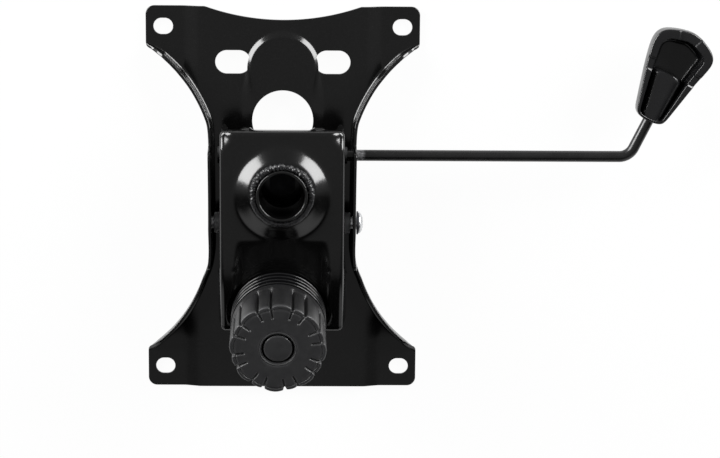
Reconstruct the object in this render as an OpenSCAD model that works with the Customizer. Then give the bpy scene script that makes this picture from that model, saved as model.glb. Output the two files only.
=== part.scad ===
// Tilt mechanism for an office chair: a seat plate, a column housing that tilts on an axle
// between the plate's flanges, a tension knob on an inclined bolt and a release lever.
// The part lies on its seat mounting face. +Z points away from the seat, +X to the lever
// side and +Y to the back of the chair. The origin is the centre of the four seat holes.

/* [Seat plate] */
// Spacing of the seat holes across the chair
hole_span_x = 150; // [140:1:160]
// Spacing of the seat holes front to back
hole_span_y = 220; // [200:1:240]
// Length of a seat slot, end to end
slot_length = 12.2; // [10.5:0.1:14]
// Width of a seat slot
slot_width = 10.2; // [6:0.1:10.4]
// Distance from a hole's centre to the side edge
ear_margin_x = 11; // [9:0.5:14]
// Distance from a hole's centre to the front or rear edge
ear_margin_y = 13; // [9:0.5:15]
// Radius of the ears' corners
ear_corner = 5; // [2:0.5:8]
// Thickness of the plate's sheet
plate_sheet = 2; // [1.5:0.1:2.5]
// Step from the ears up to the web between them
web_rise = 3; // [2:0.25:4]
// Where the step starts, from the centre line
step_start = 52; // [50:0.5:54]
// Width of the slope that makes the step
step_width = 10; // [6:0.5:12]
// Width over the two side flanges
waist_width = 93.4; // [92:0.2:98]
// Height of the side flanges at the waist, over the mounting face
flange_height = 38; // [33:0.5:42]
// Height of the flanges behind the waist, over the mounting face
rear_flange_height = 24; // [16:0.5:28]
// Height of the lip along the front wings, over the web
front_lip = 7; // [4:0.5:10]
// Height of the lip at the rear ears, over the web
rear_lip = 8; // [4:0.5:12]
// Radius of the concave sides behind the waist
rear_side_radius = 68; // [60:1:76]
// Radius of the concave sides in front of the waist
front_side_radius = 106; // [98:1:114]
// Depth of the scoop in the rear edge
rear_scoop = 8.4; // [4:0.2:12]
// Half the width of the scoop in the rear edge
rear_scoop_half = 49; // [40:1:52]

/* [Plate openings] */
// Diameter of the big round hole in the web
window_dia = 38.4; // [30:0.2:39]
// Distance of the round hole behind the origin
window_y = 51.2; // [50:0.2:54]
// Length of an oblong hole, end to end
oblong_length = 22.2; // [18:0.2:24]
// Width of an oblong hole
oblong_width = 14.8; // [10:0.2:16]
// Spacing of the two oblong holes
oblong_span = 62.6; // [58:0.2:66]
// Distance of the oblong holes behind the origin
oblong_y = 88; // [84:0.5:92]
// Radius of the raised arch between the oblong holes
arch_radius = 22; // [20.5:0.25:24]
// Distance of the arch's centre behind the origin
arch_y = 84; // [80:0.5:88]
// Height of the raised arch over the web
arch_rise = 2; // [1:0.25:2]

/* [Pivot] */
// Distance of the tilt axis in front of the origin
pivot_front = 11; // [9:0.5:13]
// Height of the tilt axis
pivot_height = 23; // [21:0.25:25]
// Diameter of the axle
axle_dia = 8; // [6:0.5:8.5]
// Diameter of the axle's head
axle_head_dia = 13; // [11:0.5:14]
// Thickness of the axle's domed head
axle_head_height = 3.4; // [2.5:0.1:4]
// Thickness of the washer under the head
axle_washer_thickness = 1; // [0.8:0.1:1.5]
// Outer diameter of the pivot bushes' collars
pivot_collar_dia = 13.4; // [12.5:0.1:14]
// Largest angle the chair tilts back
tilt_range = 10; // [6:0.5:10]

/* [Housing] */
// Width of the housing
housing_width = 77; // [72:0.5:79]
// Rear face of the housing, behind the origin
housing_rear = 51.5; // [50:0.5:53]
// Front face of the housing, in front of the origin
housing_front = 78; // [77:0.5:82]
// Height of the housing's flat face
housing_height = 50; // [48:0.5:54]
// Thickness of the housing's sheet
housing_sheet = 2.5; // [1.5:0.1:3]
// Radius of the housing's upright corners
housing_corner = 5; // [3.5:0.25:8]
// Height of the front walls' free edge
wall_foot_front = 9; // [8:0.25:11]
// Height of the rear wall's free edge
wall_foot_rear = 18.5; // [18.5:0.25:22]
// Width of the opening in the rear wall
rear_opening = 58; // [30:1:62]
// Height of the lip left over that opening
rear_wall_lip = 8; // [6:0.5:14]
// Slope of the front face that carries the spring
slope_angle = 12.5; // [10:0.5:14]
// Where the sloped face starts, in front of the origin
slope_start = 17; // [15:0.5:20]
// Half the width of the sloped recess
recess_half = 29; // [26:0.5:31]
// Where the side rails start to fall, in front of the origin
rail_start = 45; // [38:0.5:50]

/* [Column socket] */
// Distance of the column's axis behind the origin
column_y = 13; // [12.5:0.25:14]
// Diameter of the socket's mouth
socket_bore = 28; // [26:0.1:28.4]
// Outer diameter of the socket tube
socket_outer = 31.8; // [31.2:0.1:32.4]
// Height of the socket's mouth
socket_mouth = 61; // [60.5:0.25:64]
// Height of the socket's seat end
socket_end = 28.2; // [28:0.2:31]
// Half angle of the socket's taper
socket_taper = 1.4378; // [1:0.01:1.5]
// Length of the straight land at the mouth
socket_land = 6; // [4:0.5:10]
// Radius of the dome's foot
dome_foot = 29.5; // [27:0.5:32]
// Radius of the dome's flat collar
dome_collar = 20.4; // [19.5:0.1:22]
// Height of the dome over the housing's face
dome_height = 7.5; // [5:0.25:8]

/* [Tension bolt and knob] */
// Sideways place of the tension bolt
bolt_x = -2; // [-3:0.5:3]
// Where the bolt passes the sloped face, in front of the origin
bolt_front = 65.9; // [63:0.25:66]
// Diameter of the tension bolt
bolt_dia = 10; // [8:0.5:10]
// Travel of the knob each way along the bolt
knob_travel = 4; // [2:0.5:4]
// Height of the knob's face over the sloped face
knob_top = 46.8; // [46:0.2:50]
// Height of the knob's lower rim over the sloped face
knob_foot = 18; // [17.6:0.2:20]
// Diameter of the knob over its broad lobes
knob_dia = 57.4; // [56:0.2:60]
// Thickness of the knob's skirt
knob_wall = 3; // [2:0.1:3]
// Thickness of the knob's face
knob_face = 4.1; // [3:0.1:5]
// Number of broad lobes around the knob
knob_lobes = 8; // [6:1:10]
// Diameter of the cap in the knob's face
cap_dia = 18; // [14:0.5:20]
// Mean diameter of the spring
spring_dia = 38.4; // [37:0.2:39]
// Diameter of the spring's wire
spring_wire = 4.6; // [3.5:0.1:4.8]
// Number of turns of the spring
spring_turns = 5; // [4:1:5]
// Number of ribs on the sleeve around the spring
sleeve_ribs = 4; // [3:1:4]
// Distance from rib to rib
rib_pitch = 4.4; // [4:0.1:4.4]

/* [Release lever] */
// Distance of the lever's rod behind the origin
rod_y = 32; // [31.8:0.1:33]
// Height of the lever's rod
rod_height = 22; // [21.5:0.1:22]
// Diameter of the lever's rod
rod_dia = 7; // [6:0.1:7]
// Sideways place of the corner that the rod is bent at
rod_corner_x = 217.4; // [190:0.5:230]
// Radius of the rod's bend
rod_bend_radius = 16; // [12:0.5:20]
// Angle of the lever's arm to the rod
arm_angle = 64; // [55:1:72]
// Travel of the lever towards its tilt lock
lock_travel = 8; // [5:0.5:8]
// Angle that the lever turns to press the gas spring
release_range = 12; // [6:1:12]
// Distance from the rod's corner to the grip's near end
grip_start = 27; // [24:0.5:30]
// Length of the grip
grip_length = 59; // [50:0.5:64]
// Width of the grip at its near end
grip_neck = 18; // [16:0.5:20]
// Width of the grip at its broad end
grip_width = 38; // [32:0.5:42]
// Depth of the grip
grip_depth = 16; // [14.6:0.2:18]
// Wall of the grip
grip_wall = 2; // [1.5:0.1:2.4]

/* [Hidden] */

// Smoothness of round surfaces
$fn = 96;
// Overshoot of a cutting solid past the face it cuts
cut = 1;
// Gap between pieces that are fixed to each other
joint_gap = 0.05;
// Radial clearance of a pin or shaft that turns in its hole
running = 0.05;
// Gap between a moving piece and a face it must not rub on
side_gap = 0.3;
// Space round a bolt or rod where a hole only clears it
wide_gap = 0.7;
// Space round the tension bolt where the housing swings past it
bolt_play = 1.5;

// Plate
plate_width = hole_span_x + 2 * ear_margin_x;
plate_length = hole_span_y + 2 * ear_margin_y;
waist_half = waist_width / 2;
web_top = web_rise + plate_sheet;
// Direction of the plate's rear sides against the centre line
rear_side_angle = 54;
// Where the waist's straight flanges end, behind and in front of the origin
waist_rear = 35;
waist_front = -44;
// Directions of the plate's front sides where their arc starts and ends
front_side_first = 18;
front_side_last = 48;
// Distance from the centre line that the side cuts reach, past the plate's edge
side_margin = 20;
side_reach = plate_width / 2 + side_margin;
// Length of the rise from a wing's tip to its full lip or flange
lip_run = 6;
// Fall of the waist flanges' ends before they drop away
flange_end = 2;
// Front end of the raised arch, hidden by the housing
arch_front = 41;
// The part of the plate beside the arch
wing_span = plate_width / 2 + cut - arch_radius;
wing_middle = arch_radius + wing_span / 2;

// Pivot
pivot_y = -pivot_front;
axle_r = axle_dia / 2;
flange_inner = waist_half - plate_sheet;
// Length of the axle past the left flange, and height of its head's straight rim
axle_stub = 0.6;
axle_rim = 0.8;
// Wall of the sleeve between the housing's walls, and margin of the head's washer
pivot_sleeve_wall = 2;
axle_washer_margin = 0.8;

// Housing
housing_half = housing_width / 2;
housing_inner = housing_half - housing_sheet;
housing_front_y = -housing_front;
slope_y = -slope_start;
rail_y = -rail_start;
// Drop of the sloped face per unit length
slope_fall = tan(slope_angle);
// Height of the sloped face at a distance along Y
function slope_z(y) = housing_height + slope_fall * (y - slope_y);

// Radius of the upper corners of the rear wall's opening
rear_opening_corner = 5;

// Rubber stops: width, length, corner radius, distance behind the front face, and free gap
pad_width = 8;
pad_length = 16;
pad_corner = 2;
pad_back = 24;
pad_gap = 0.2;

// Pivot bushes in the side walls, and their inner end
pivot_barrel_r = axle_r + 1.5;
pivot_bush_end = housing_inner - 3;

// Bolt axis
bolt_y = -bolt_front;
bolt_r = bolt_dia / 2;
bolt_z = slope_z(bolt_y);
// Shift of the housing past the bolt at full tilt, at the sloped face
bolt_shift = tilt_range * 0.65;
bolt_slot_r = bolt_r + bolt_play;

// Saddle on the web, along the bolt axis: its height is measured from the web
saddle_height = 13;
saddle_top = saddle_height - (bolt_z - web_top) / cos(slope_angle);
saddle_sheet = 3;
saddle_depth = 2 * housing_height;
saddle_half_x = 15;
saddle_half_y = 11;
bolt_head_height = 6.4;
bolt_head_flats = 1.7 * bolt_dia;

// Knob, along the bolt axis from the sloped face
knob_r = knob_dia / 2;
knob_valley_r = 0.95 * knob_r;
knob_inner_r = knob_r - knob_wall;
knob_ceiling = knob_top - knob_face;
knob_band = 5.5;
knob_band_step = 0.4;
knob_flutes_foot = knob_foot + knob_band;
// Half angle of a broad lobe, turn of the lobes, and radius and depth of the grooves beside them
lobe_half = 13.75;
lobe_turn = -5;
groove_r = 0.75;
groove_lift = 0.4;
nut_flats = bolt_head_flats;
nut_height = 8.3;
nut_foot = 30.1;
hub_wall = 2.3;
hub_r = nut_flats / 2 / cos(30) + hub_wall;
washer_thickness = 1.8;
washer_top = knob_ceiling - joint_gap;
// Gaps from the washer to the skirt and to the hub
washer_skirt_gap = 2.5;
washer_hub_gap = 0.6;
washer_r = knob_inner_r - washer_skirt_gap;
cap_depth = 2.6;
cap_sink = 0.2;
bolt_end = knob_top - cap_depth - knob_travel - wide_gap;

// Spring and sleeve, along the bolt axis
seat_thickness = 1.8;
seat_hole_r = bolt_r + bolt_shift + bolt_play;
spring_r = spring_dia / 2;
wire_r = spring_wire / 2;
ring_points = 6;
rings_per_turn = 8;
spring_foot = joint_gap + seat_thickness + joint_gap + wire_r;
spring_head = washer_top - washer_thickness - joint_gap - wire_r;
seat_boss_r = (spring_r - wire_r) * cos(180 / rings_per_turn) - side_gap;
sleeve_play = 0.5;
sleeve_outer_r = knob_inner_r - sleeve_play;
sleeve_wall = 0.9;
// Ribs: outer radius, height of the lowest, and half widths at their root and crest
rib_r = knob_r;
rib_foot = 2.6;
rib_half = 1.5;
rib_crest = 0.4;
sleeve_neck = 6;

// Lever
rod_r = rod_dia / 2;
// Left end of the rod when the lever is out
rod_left = -housing_inner;
bend_tangent = rod_bend_radius * tan(arm_angle / 2);
arm_end = grip_start + grip_length / 2;
bush_inner = housing_inner - 6;
bush_barrel_r = rod_r + 1.1;
bush_collar_r = rod_r + 1.8;
// Thickness of the lever bushes' collars, as a share of the gap between housing and flange
bush_collar = (flange_inner - housing_half) * 0.32;
tube_wall = 2;
tube_r = rod_r + tube_wall;
pin_r = 1.5;
pin_x = 18;
pin_length = 2 * tube_r + 1.8;
// Tongue: half width, sheet, front end, overlap past the rod, rise round the tube, corner radius
tongue_half = 8;
tongue_sheet = 2.5;
tongue_tip_y = 6;
tongue_tail = 1.5;
tongue_lift = 0.9;
tongue_corner = 4;
grip_floor = rod_height - grip_depth * 0.55;
boss_r = rod_r + 2.4;
// Grip's corners at the neck and at the broad end, and share of its width in the crown's radius
neck_corner = 4;
end_corner = 9;
end_back = 5;
crown_share = 0.45;

// Distance and direction of the rod from the tilt axis
rod_reach = norm([rod_y - pivot_y, rod_height - pivot_height]);
rod_bearing = atan2(rod_height - pivot_height, rod_y - pivot_y);

// Local axes for pieces on the tension bolt: Z runs along the bolt from the sloped face
module on_bolt() { translate([bolt_x, bolt_y, bolt_z]) rotate([slope_angle, 0, 0]) children(); }

// Local axes for an outline drawn in Y and Z and extruded along X
module along_x(length) {
    translate([-length / 2, 0, 0]) rotate([90, 0, 90]) linear_extrude(length) children();
}

// Local axes for an outline drawn in X and Z and extruded along Y
module along_y(length) {
    translate([0, length / 2, 0]) rotate([90, 0, 0]) linear_extrude(length) children();
}

// A round bar along X
module bar_x(radius, from_x, to_x) {
    translate([from_x, 0, 0]) rotate([0, 90, 0]) cylinder(r = radius, h = to_x - from_x);
}

// A rectangle with round corners
module round_rect(width, length, radius) {
    square([width - 2 * radius, length], center = true);
    square([width, length - 2 * radius], center = true);
    for (x = [-1, 1], y = [-1, 1])
        translate([x * (width / 2 - radius), y * (length / 2 - radius)]) circle(r = radius);
}

// An oblong with round ends, longer along X
module oblong(length, width) {
    square([length - width, width], center = true);
    for (x = [-1, 1]) translate([x * (length - width) / 2, 0]) circle(d = width);
}

// A tube along Z
module tube(outer, inner, from_z, to_z) {
    difference() {
        translate([0, 0, from_z]) cylinder(r = outer, h = to_z - from_z);
        translate([0, 0, from_z - cut]) cylinder(r = inner, h = to_z - from_z + 2 * cut);
    }
}

// The space beside the plate's right side. grow moves its outline into the plate.
module side_cut(grow = 0) {
    waist = waist_half - grow;
    rear_c = [waist_half + rear_side_radius, waist_rear];
    rear_r = rear_side_radius + grow;
    rear_end = rear_c + rear_r * [-cos(rear_side_angle), sin(rear_side_angle)];
    rear_out = rear_end + (side_reach - rear_end[0]) * [1, 1 / tan(rear_side_angle)];
    front_c = [waist_half, waist_front]
        + front_side_radius * [cos(front_side_first), sin(front_side_first)];
    front_r = front_side_radius + grow;
    front_end = front_c - front_r * [cos(front_side_last), sin(front_side_last)];
    front_out = front_end + (side_reach - front_end[0]) * [1, -1 / tan(front_side_last)];
    polygon([[waist, waist_rear], rear_end, rear_out, front_out, front_end,
             [waist, waist_front]]);
    intersection() {
        translate(rear_c) circle(r = rear_r, $fn = 180);
        translate([0, waist_rear]) square(2 * side_reach);
    }
    intersection() {
        translate(front_c) circle(r = front_r, $fn = 180);
        translate([0, waist_front - 2 * side_reach]) square(2 * side_reach);
    }
}

// Outline of the seat plate seen along Z
module plate_outline() {
    scoop_r = (pow(rear_scoop_half, 2) + pow(rear_scoop, 2)) / (2 * rear_scoop);
    difference() {
        round_rect(plate_width, plate_length, ear_corner);
        for (side = [0, 1]) mirror([side, 0]) side_cut();
        translate([0, plate_length / 2 - rear_scoop + scoop_r]) circle(r = scoop_r, $fn = 180);
    }
}

// Section between the stepped sheet's surface, lifted by a thickness, and a flat level
module sheet_section(lift, level) {
    outer = plate_width / 2 + 2 * cut;
    step_end = step_start + step_width;
    polygon([[-outer, lift], [-step_end, lift], [-step_start, web_rise + lift],
             [step_start, web_rise + lift], [step_end, lift], [outer, lift],
             [outer, level], [-outer, level]]);
}

// Space over the flanges' upper edge, seen from the side
module above_flanges() {
    far = plate_length / 2 + cut;
    front_tip = -plate_length / 2 + 2 * ear_margin_y;
    rear_tip = plate_length / 2 - 2 * ear_margin_y;
    polygon([[-far, web_top], [front_tip, web_top],
             [front_tip + lip_run, web_top + front_lip - flange_end],
             [waist_front - cut, web_top + front_lip], [waist_front, flange_height - flange_end],
             [waist_front + flange_end, flange_height],
             [waist_front + flange_end, flange_height + cut], [-far, flange_height + cut]]);
    polygon([[far, web_top], [rear_tip, web_top],
             [rear_tip - lip_run, web_top + rear_lip],
             [waist_rear + flange_end, rear_flange_height],
             [waist_rear + flange_end, flange_height - flange_end],
             [waist_rear, flange_height], [waist_rear, flange_height + cut],
             [far, flange_height + cut]]);
}

// Slot that the lever's rod swings through, seen along X, centred on the tilt axis. Between its
// round ends it is a little narrower, so that the ends and the arcs cross cleanly.
module swing_slot(half) {
    band = half - 2 * joint_gap;
    rotate(rod_bearing) {
        for (a = [0, -tilt_range]) rotate(a) translate([rod_reach, 0]) circle(r = half);
        intersection() {
            difference() { circle(r = rod_reach + band); circle(r = rod_reach - band); }
            polygon([[0, 0], [2 * rod_reach, 0],
                     2 * rod_reach * [cos(tilt_range), -sin(tilt_range)]]);
        }
    }
}

// Raised arch seen along Z. inset narrows it for the underside.
module arch_outline(inset = 0) {
    r = arch_radius - inset;
    translate([0, arch_y]) circle(r = r);
    translate([-r, arch_front + inset]) square([2 * r, arch_y - arch_front - inset]);
}

// Space over the sheet and between the flanges, with the raised arch left standing in it
module plate_inside() difference() {
    intersection() {
        linear_extrude(2 * flange_height) difference() {
            square([plate_width + 2 * cut, plate_length + 2 * cut], center = true);
            for (side = [0, 1]) mirror([side, 0]) side_cut(plate_sheet);
        }
        along_y(plate_length + 4 * cut) sheet_section(plate_sheet, 2 * flange_height);
    }
    linear_extrude(web_top + arch_rise) arch_outline();
}

// Seat plate: one stamping with ears, web, arch and side flanges
module seat_plate() color("#202123") difference() {
    linear_extrude(flange_height) plate_outline();
    plate_inside();
    for (side = [-1, 1]) translate([side * wing_middle, 0, 0]) along_x(wing_span) above_flanges();
    // Space under the stepped web, and under the arch, which is pressed up from below
    along_y(plate_length + 2 * cut) sheet_section(-cut, -2 * cut);
    translate([0, 0, -cut]) linear_extrude(web_top + arch_rise - plate_sheet + cut)
        arch_outline(plate_sheet);
    for (x = [-1, 1], y = [-1, 1])
        translate([x * hole_span_x / 2, y * hole_span_y / 2, -cut])
            linear_extrude(plate_sheet + 2 * cut) oblong(slot_length, slot_width);
    for (x = [-1, 1]) translate([x * oblong_span / 2, oblong_y, -cut])
        linear_extrude(web_top + arch_rise + 2 * cut) oblong(oblong_length, oblong_width);
    translate([0, window_y, -cut]) cylinder(d = window_dia, h = web_top + arch_rise + 2 * cut);
    translate([0, pivot_y, pivot_height])
        bar_x(axle_r + joint_gap, -waist_half - cut, waist_half + cut);
    translate([waist_half, 0, 0]) along_x(4 * plate_sheet)
        translate([pivot_y, pivot_height]) swing_slot(rod_r + wide_gap);
    // Hole that the rod's end enters when the tilt is locked
    translate([0, rod_y, rod_height])
        bar_x(rod_r + side_gap, -waist_half - cut, -flange_inner + cut);
}

// Bracket on the web that holds the tension bolt's head
module bolt_saddle() color("#202123") difference() {
    intersection() {
        on_bolt() difference() {
            translate([-saddle_half_x, -saddle_half_y, saddle_top - saddle_depth])
                cube([2 * saddle_half_x, 2 * saddle_half_y, saddle_depth]);
            translate([-saddle_half_x + saddle_sheet, -saddle_half_y - cut,
                       saddle_top - saddle_depth - saddle_sheet])
                cube([2 * (saddle_half_x - saddle_sheet), 2 * (saddle_half_y + cut), saddle_depth]);
        }
        translate([bolt_x - saddle_depth, bolt_y - saddle_depth, web_top])
            cube([2 * saddle_depth, 2 * saddle_depth, housing_height]);
    }
    on_bolt() translate([0, 0, saddle_top - saddle_sheet - cut])
        cylinder(r = bolt_r + joint_gap, h = saddle_sheet + 2 * cut);
}

// Bolt from the saddle through the housing to the knob
module tension_bolt() color("#8f9093") on_bolt() {
    head_top = saddle_top - saddle_sheet;
    translate([0, 0, head_top - cut]) cylinder(r = bolt_r, h = bolt_end - head_top + cut);
    translate([0, 0, head_top - bolt_head_height])
        rotate(30) cylinder(d = bolt_head_flats / cos(30), h = bolt_head_height, $fn = 6);
}

// Axle through both flanges, with a domed head on the lever side
module pivot_axle() color("#d9dadc") translate([0, pivot_y, pivot_height]) rotate([0, 90, 0]) {
    head_base = waist_half + axle_washer_thickness + joint_gap;
    head_r = axle_head_dia / 2;
    left_end = -waist_half - axle_stub;
    // Arc of the dome from the head's rim to its middle
    rise = axle_head_height - axle_rim;
    dome_r = (pow(head_r, 2) + pow(rise, 2)) / (2 * rise);
    dome_angle = asin(head_r / dome_r);
    steps = 10;
    dome = [for (i = [0:steps]) let (a = dome_angle * (1 - i / steps))
        [i == steps ? 0 : dome_r * sin(a), head_base + axle_head_height - dome_r * (1 - cos(a))]];
    rotate_extrude() polygon(concat([[0, left_end], [axle_r, left_end],
                                     [axle_r, head_base], [head_r, head_base]], dome));
}

// Washer between the axle's head and the flange
module axle_washer() color("#55565a") translate([waist_half, pivot_y, pivot_height])
    rotate([0, 90, 0])
        tube(axle_head_dia / 2 + axle_washer_margin, axle_r + joint_gap, 0, axle_washer_thickness);

// Rubber stops on the web under the housing's side walls
module bump_pads() color("#151515") for (x = [-1, 1])
    translate([x * (housing_half - housing_sheet / 2), housing_front_y + pad_back, web_top])
        linear_extrude(wall_foot_front - web_top - pad_gap)
            round_rect(pad_width, pad_length, pad_corner);

// Outline of the housing seen along Z
module housing_plan(inset) {
    length = housing_rear + housing_front - 2 * inset;
    translate([0, (housing_rear - housing_front) / 2])
        round_rect(housing_width - 2 * inset, length, housing_corner - min(inset, housing_corner - 1));
}

// Side view of the housing: flat face, falling rails and the walls' free edge
module housing_side(sink, foot_drop) {
    top = housing_height - sink;
    front_top = slope_z(housing_front_y) - sink;
    polygon([[housing_rear, wall_foot_rear - foot_drop], [housing_rear, top], [rail_y, top],
             [housing_front_y, front_top], [housing_front_y, wall_foot_front - foot_drop],
             [pivot_y, wall_foot_front - foot_drop]]);
}

// Space over the sloped face between the rails, widened round the ribbed sleeve. grow widens
// and sinks it by a sheet.
module recess(grow) {
    reach = 1.3 * housing_front;
    drop = grow / cos(slope_angle);
    intersection() {
        linear_extrude(housing_height + dome_height) {
            translate([-recess_half - grow, -reach]) square([2 * (recess_half + grow), 2 * reach]);
            translate([bolt_x, bolt_y]) circle(r = rib_r + wide_gap + grow);
        }
        along_x(2 * (housing_half + cut))
            polygon([[slope_y, housing_height - drop], [slope_y, housing_height + dome_height],
                     [-reach, housing_height + dome_height], [-reach, slope_z(-reach) - drop]]);
    }
}

// Dome round the socket: a smooth step from its foot to its collar
module dome_solid(sink, foot, collar) {
    steps = 12;
    rise = dome_height;
    curve = [for (i = [0:steps]) [foot + (collar - foot) * i / steps,
                                  housing_height - sink + rise * (1 - cos(180 * i / steps)) / 2]];
    translate([0, column_y, 0]) rotate_extrude()
        polygon(concat([[0, housing_height - sink - 2]], [[foot, housing_height - sink - 2]],
                       curve, [[0, housing_height - sink + rise]]));
}

// Column housing: a pan of sheet steel with domed face, open towards the seat
module housing() color("#232426") difference() {
    union() {
        difference() {
            intersection() {
                linear_extrude(housing_height) housing_plan(0);
                along_x(housing_width) housing_side(0, 0);
            }
            recess(0);
        }
        dome_solid(0, dome_foot, dome_collar);
    }
    difference() {
        intersection() {
            linear_extrude(housing_height) housing_plan(housing_sheet);
            along_x(housing_width) housing_side(housing_sheet, 2 * cut);
        }
        recess(housing_sheet);
    }
    dome_solid(housing_sheet, dome_foot - housing_sheet / 2, dome_collar - housing_sheet / 2);
    translate([0, column_y, housing_height / 2])
        cylinder(d = socket_outer + 2 * joint_gap, h = housing_height);
    on_bolt() translate([0, -bolt_shift / 2, -2 * housing_sheet])
        rotate(90) linear_extrude(3 * housing_sheet)
            oblong(bolt_shift + 2 * bolt_slot_r, 2 * bolt_slot_r);
    translate([0, pivot_y, pivot_height])
        bar_x(pivot_barrel_r + joint_gap, -housing_half - cut, housing_half + cut);
    translate([0, rod_y, rod_height])
        bar_x(bush_barrel_r + joint_gap, -housing_half - cut, housing_half + cut);
    // Opening in the rear wall, under the lip along its upper edge
    translate([0, housing_rear, 0]) along_y(3 * housing_sheet)
        round_rect(rear_opening, 2 * (housing_height - rear_wall_lip), rear_opening_corner);
}

// Tapered tube that the gas spring is pushed into
module column_socket() color("#2a2b2d") translate([0, column_y, 0]) difference() {
    translate([0, 0, socket_end]) cylinder(d = socket_outer, h = socket_mouth - socket_end);
    taper_top = socket_mouth - socket_land;
    taper_length = taper_top - socket_end;
    translate([0, 0, taper_top]) cylinder(d = socket_bore, h = socket_land + cut);
    translate([0, 0, socket_end - cut])
        cylinder(r1 = socket_bore / 2 - (taper_length + cut) * tan(socket_taper),
                 r2 = socket_bore / 2, h = taper_length + cut);
}

// Weld between the dome's collar and the socket
module weld_bead() color("#303134") translate([0, column_y, 0]) {
    inner = socket_outer / 2 + joint_gap;
    foot = housing_height + dome_height;
    outer = dome_collar - 0.6;
    rotate_extrude() polygon([[inner, foot], [outer, foot], [outer - 0.4, foot + 1.2],
                              [inner + 1.6, foot + 2], [inner, foot + 2.4]]);
}

// Steel sleeve that keeps the housing's walls apart
module pivot_sleeve() color("#6b6c70") translate([0, pivot_y, pivot_height])
    rotate([0, 90, 0])
        tube(axle_r + pivot_sleeve_wall, axle_r + side_gap,
             -pivot_bush_end + joint_gap, pivot_bush_end - joint_gap);

// Collared bush in a side wall, on the right side
module pivot_bush() translate([0, pivot_y, pivot_height]) difference() {
    union() {
        bar_x(pivot_barrel_r, pivot_bush_end, housing_half + cut);
        bar_x(pivot_collar_dia / 2, housing_half + joint_gap, flange_inner - side_gap);
    }
    bar_x(axle_r + running, pivot_bush_end - cut, flange_inner + cut);
}

module pivot_bush_right() color("#8c8d90") pivot_bush();
module pivot_bush_left() color("#8c8d90") mirror([1, 0, 0]) pivot_bush();

// Bush for the lever's rod, on the right side
module lever_bush() translate([0, rod_y, rod_height]) difference() {
    union() {
        bar_x(bush_barrel_r, bush_inner, housing_half + cut);
        bar_x(bush_collar_r, housing_half + joint_gap, housing_half + bush_collar);
    }
    bar_x(rod_r + running, bush_inner - cut, housing_half + bush_collar + cut);
}

module lever_bush_right() color("#2b2b2d") lever_bush();
module lever_bush_left() color("#2b2b2d") mirror([1, 0, 0]) lever_bush();

// Dished ring that the spring stands in
module spring_seat() color("#3a3b3e") on_bolt() {
    tube(sleeve_outer_r - sleeve_wall - sleeve_play, seat_hole_r, joint_gap,
         joint_gap + seat_thickness);
    tube(seat_boss_r, seat_hole_r, joint_gap + seat_thickness / 2, joint_gap + 3 * seat_thickness);
}

// Spring wire: rings of points along a helix, joined by triangles and closed at both ends.
// The first and last turn lie closer, and the turns between share the rest of the height.
end_pitch = spring_wire + 0.6;
mid_pitch = (spring_head - spring_foot - 2 * end_pitch) / (spring_turns - 2);
ring_count = spring_turns * rings_per_turn;
function spring_rise(turn) = turn <= 1 ? turn * end_pitch
    : turn >= spring_turns - 1 ? spring_head - spring_foot - (spring_turns - turn) * end_pitch
    : end_pitch + (turn - 1) * mid_pitch;
function wire_ring(i) = let (turn = i / rings_per_turn, a = 360 * turn)
    [for (j = [0:ring_points - 1]) let (b = 360 * j / ring_points,
        r = spring_r + wire_r * cos(b))
        [r * cos(a), r * sin(a), spring_foot + spring_rise(turn) + wire_r * sin(b)]];
wire_points = [for (i = [0:ring_count]) each wire_ring(i)];
wire_faces = concat(
    [for (i = [0:ring_count - 1], j = [0:ring_points - 1])
        let (a = i * ring_points + j, b = i * ring_points + (j + 1) % ring_points)
        each [[a, b, b + ring_points], [a, b + ring_points, a + ring_points]]],
    [for (j = [1:ring_points - 2]) [0, j + 1, j]],
    [for (j = [1:ring_points - 2]) let (last = ring_count * ring_points) [last, last + j, last + j + 1]]);
// Least gap between a turn and the turn above it, on the wire's points
turn_gaps = [for (i = [0:ring_count - rings_per_turn], j = [0:ring_points - 1],
                  k = [0:ring_points - 1])
    norm(wire_points[i * ring_points + j]
         - wire_points[(i + rings_per_turn) * ring_points + k])];

// Compression spring between the housing and the knob
module tension_spring() color("#45464a") on_bolt() {
    echo(least_gap_between_turns = min(turn_gaps));
    polyhedron(points = wire_points, faces = wire_faces, convexity = 10);
}

// Ribbed sleeve round the spring
module ribbed_sleeve() color("#1b1b1c") on_bolt() rotate_extrude() {
    inner = sleeve_outer_r - sleeve_wall;
    polygon(concat(
        [[inner, joint_gap + side_gap]], [[sleeve_outer_r, joint_gap + side_gap]],
        [for (i = [0:sleeve_ribs - 1],
              p = [[0, -rib_half], [1, -rib_crest], [1, rib_crest], [0, rib_half]])
            [sleeve_outer_r + p[0] * (rib_r - sleeve_outer_r), rib_foot + i * rib_pitch + p[1]]],
        [[sleeve_outer_r, knob_foot + sleeve_neck]], [[inner, knob_foot + sleeve_neck]]));
}

// Tube that turns with the rod between the two lever bushes
module release_tube() color("#5c5d61") translate([0, rod_y, rod_height]) difference() {
    bar_x(tube_r, -bush_inner + side_gap, bush_inner - side_gap);
    bar_x(rod_r + running, -bush_inner - cut, bush_inner + cut);
    // Slot for the drive pin, which slides in it while the lever moves to its lock
    translate([pin_x - lock_travel / 2, 0, -2 * tube_r]) linear_extrude(4 * tube_r)
        oblong(lock_travel + 2 * (pin_r + running), 2 * (pin_r + running));
}

// Tongue on the tube that presses the gas spring's button
module release_tongue() color("#5c5d61") difference() {
    tongue_top = rod_height - tube_r + tongue_lift;
    tail_y = rod_y + tongue_tail;
    translate([0, (tongue_tip_y + tail_y) / 2, tongue_top - tongue_sheet])
        linear_extrude(tongue_sheet)
            round_rect(2 * tongue_half, tail_y - tongue_tip_y, tongue_corner);
    translate([0, rod_y, rod_height]) bar_x(tube_r + joint_gap, -housing_half, housing_half);
}

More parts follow.
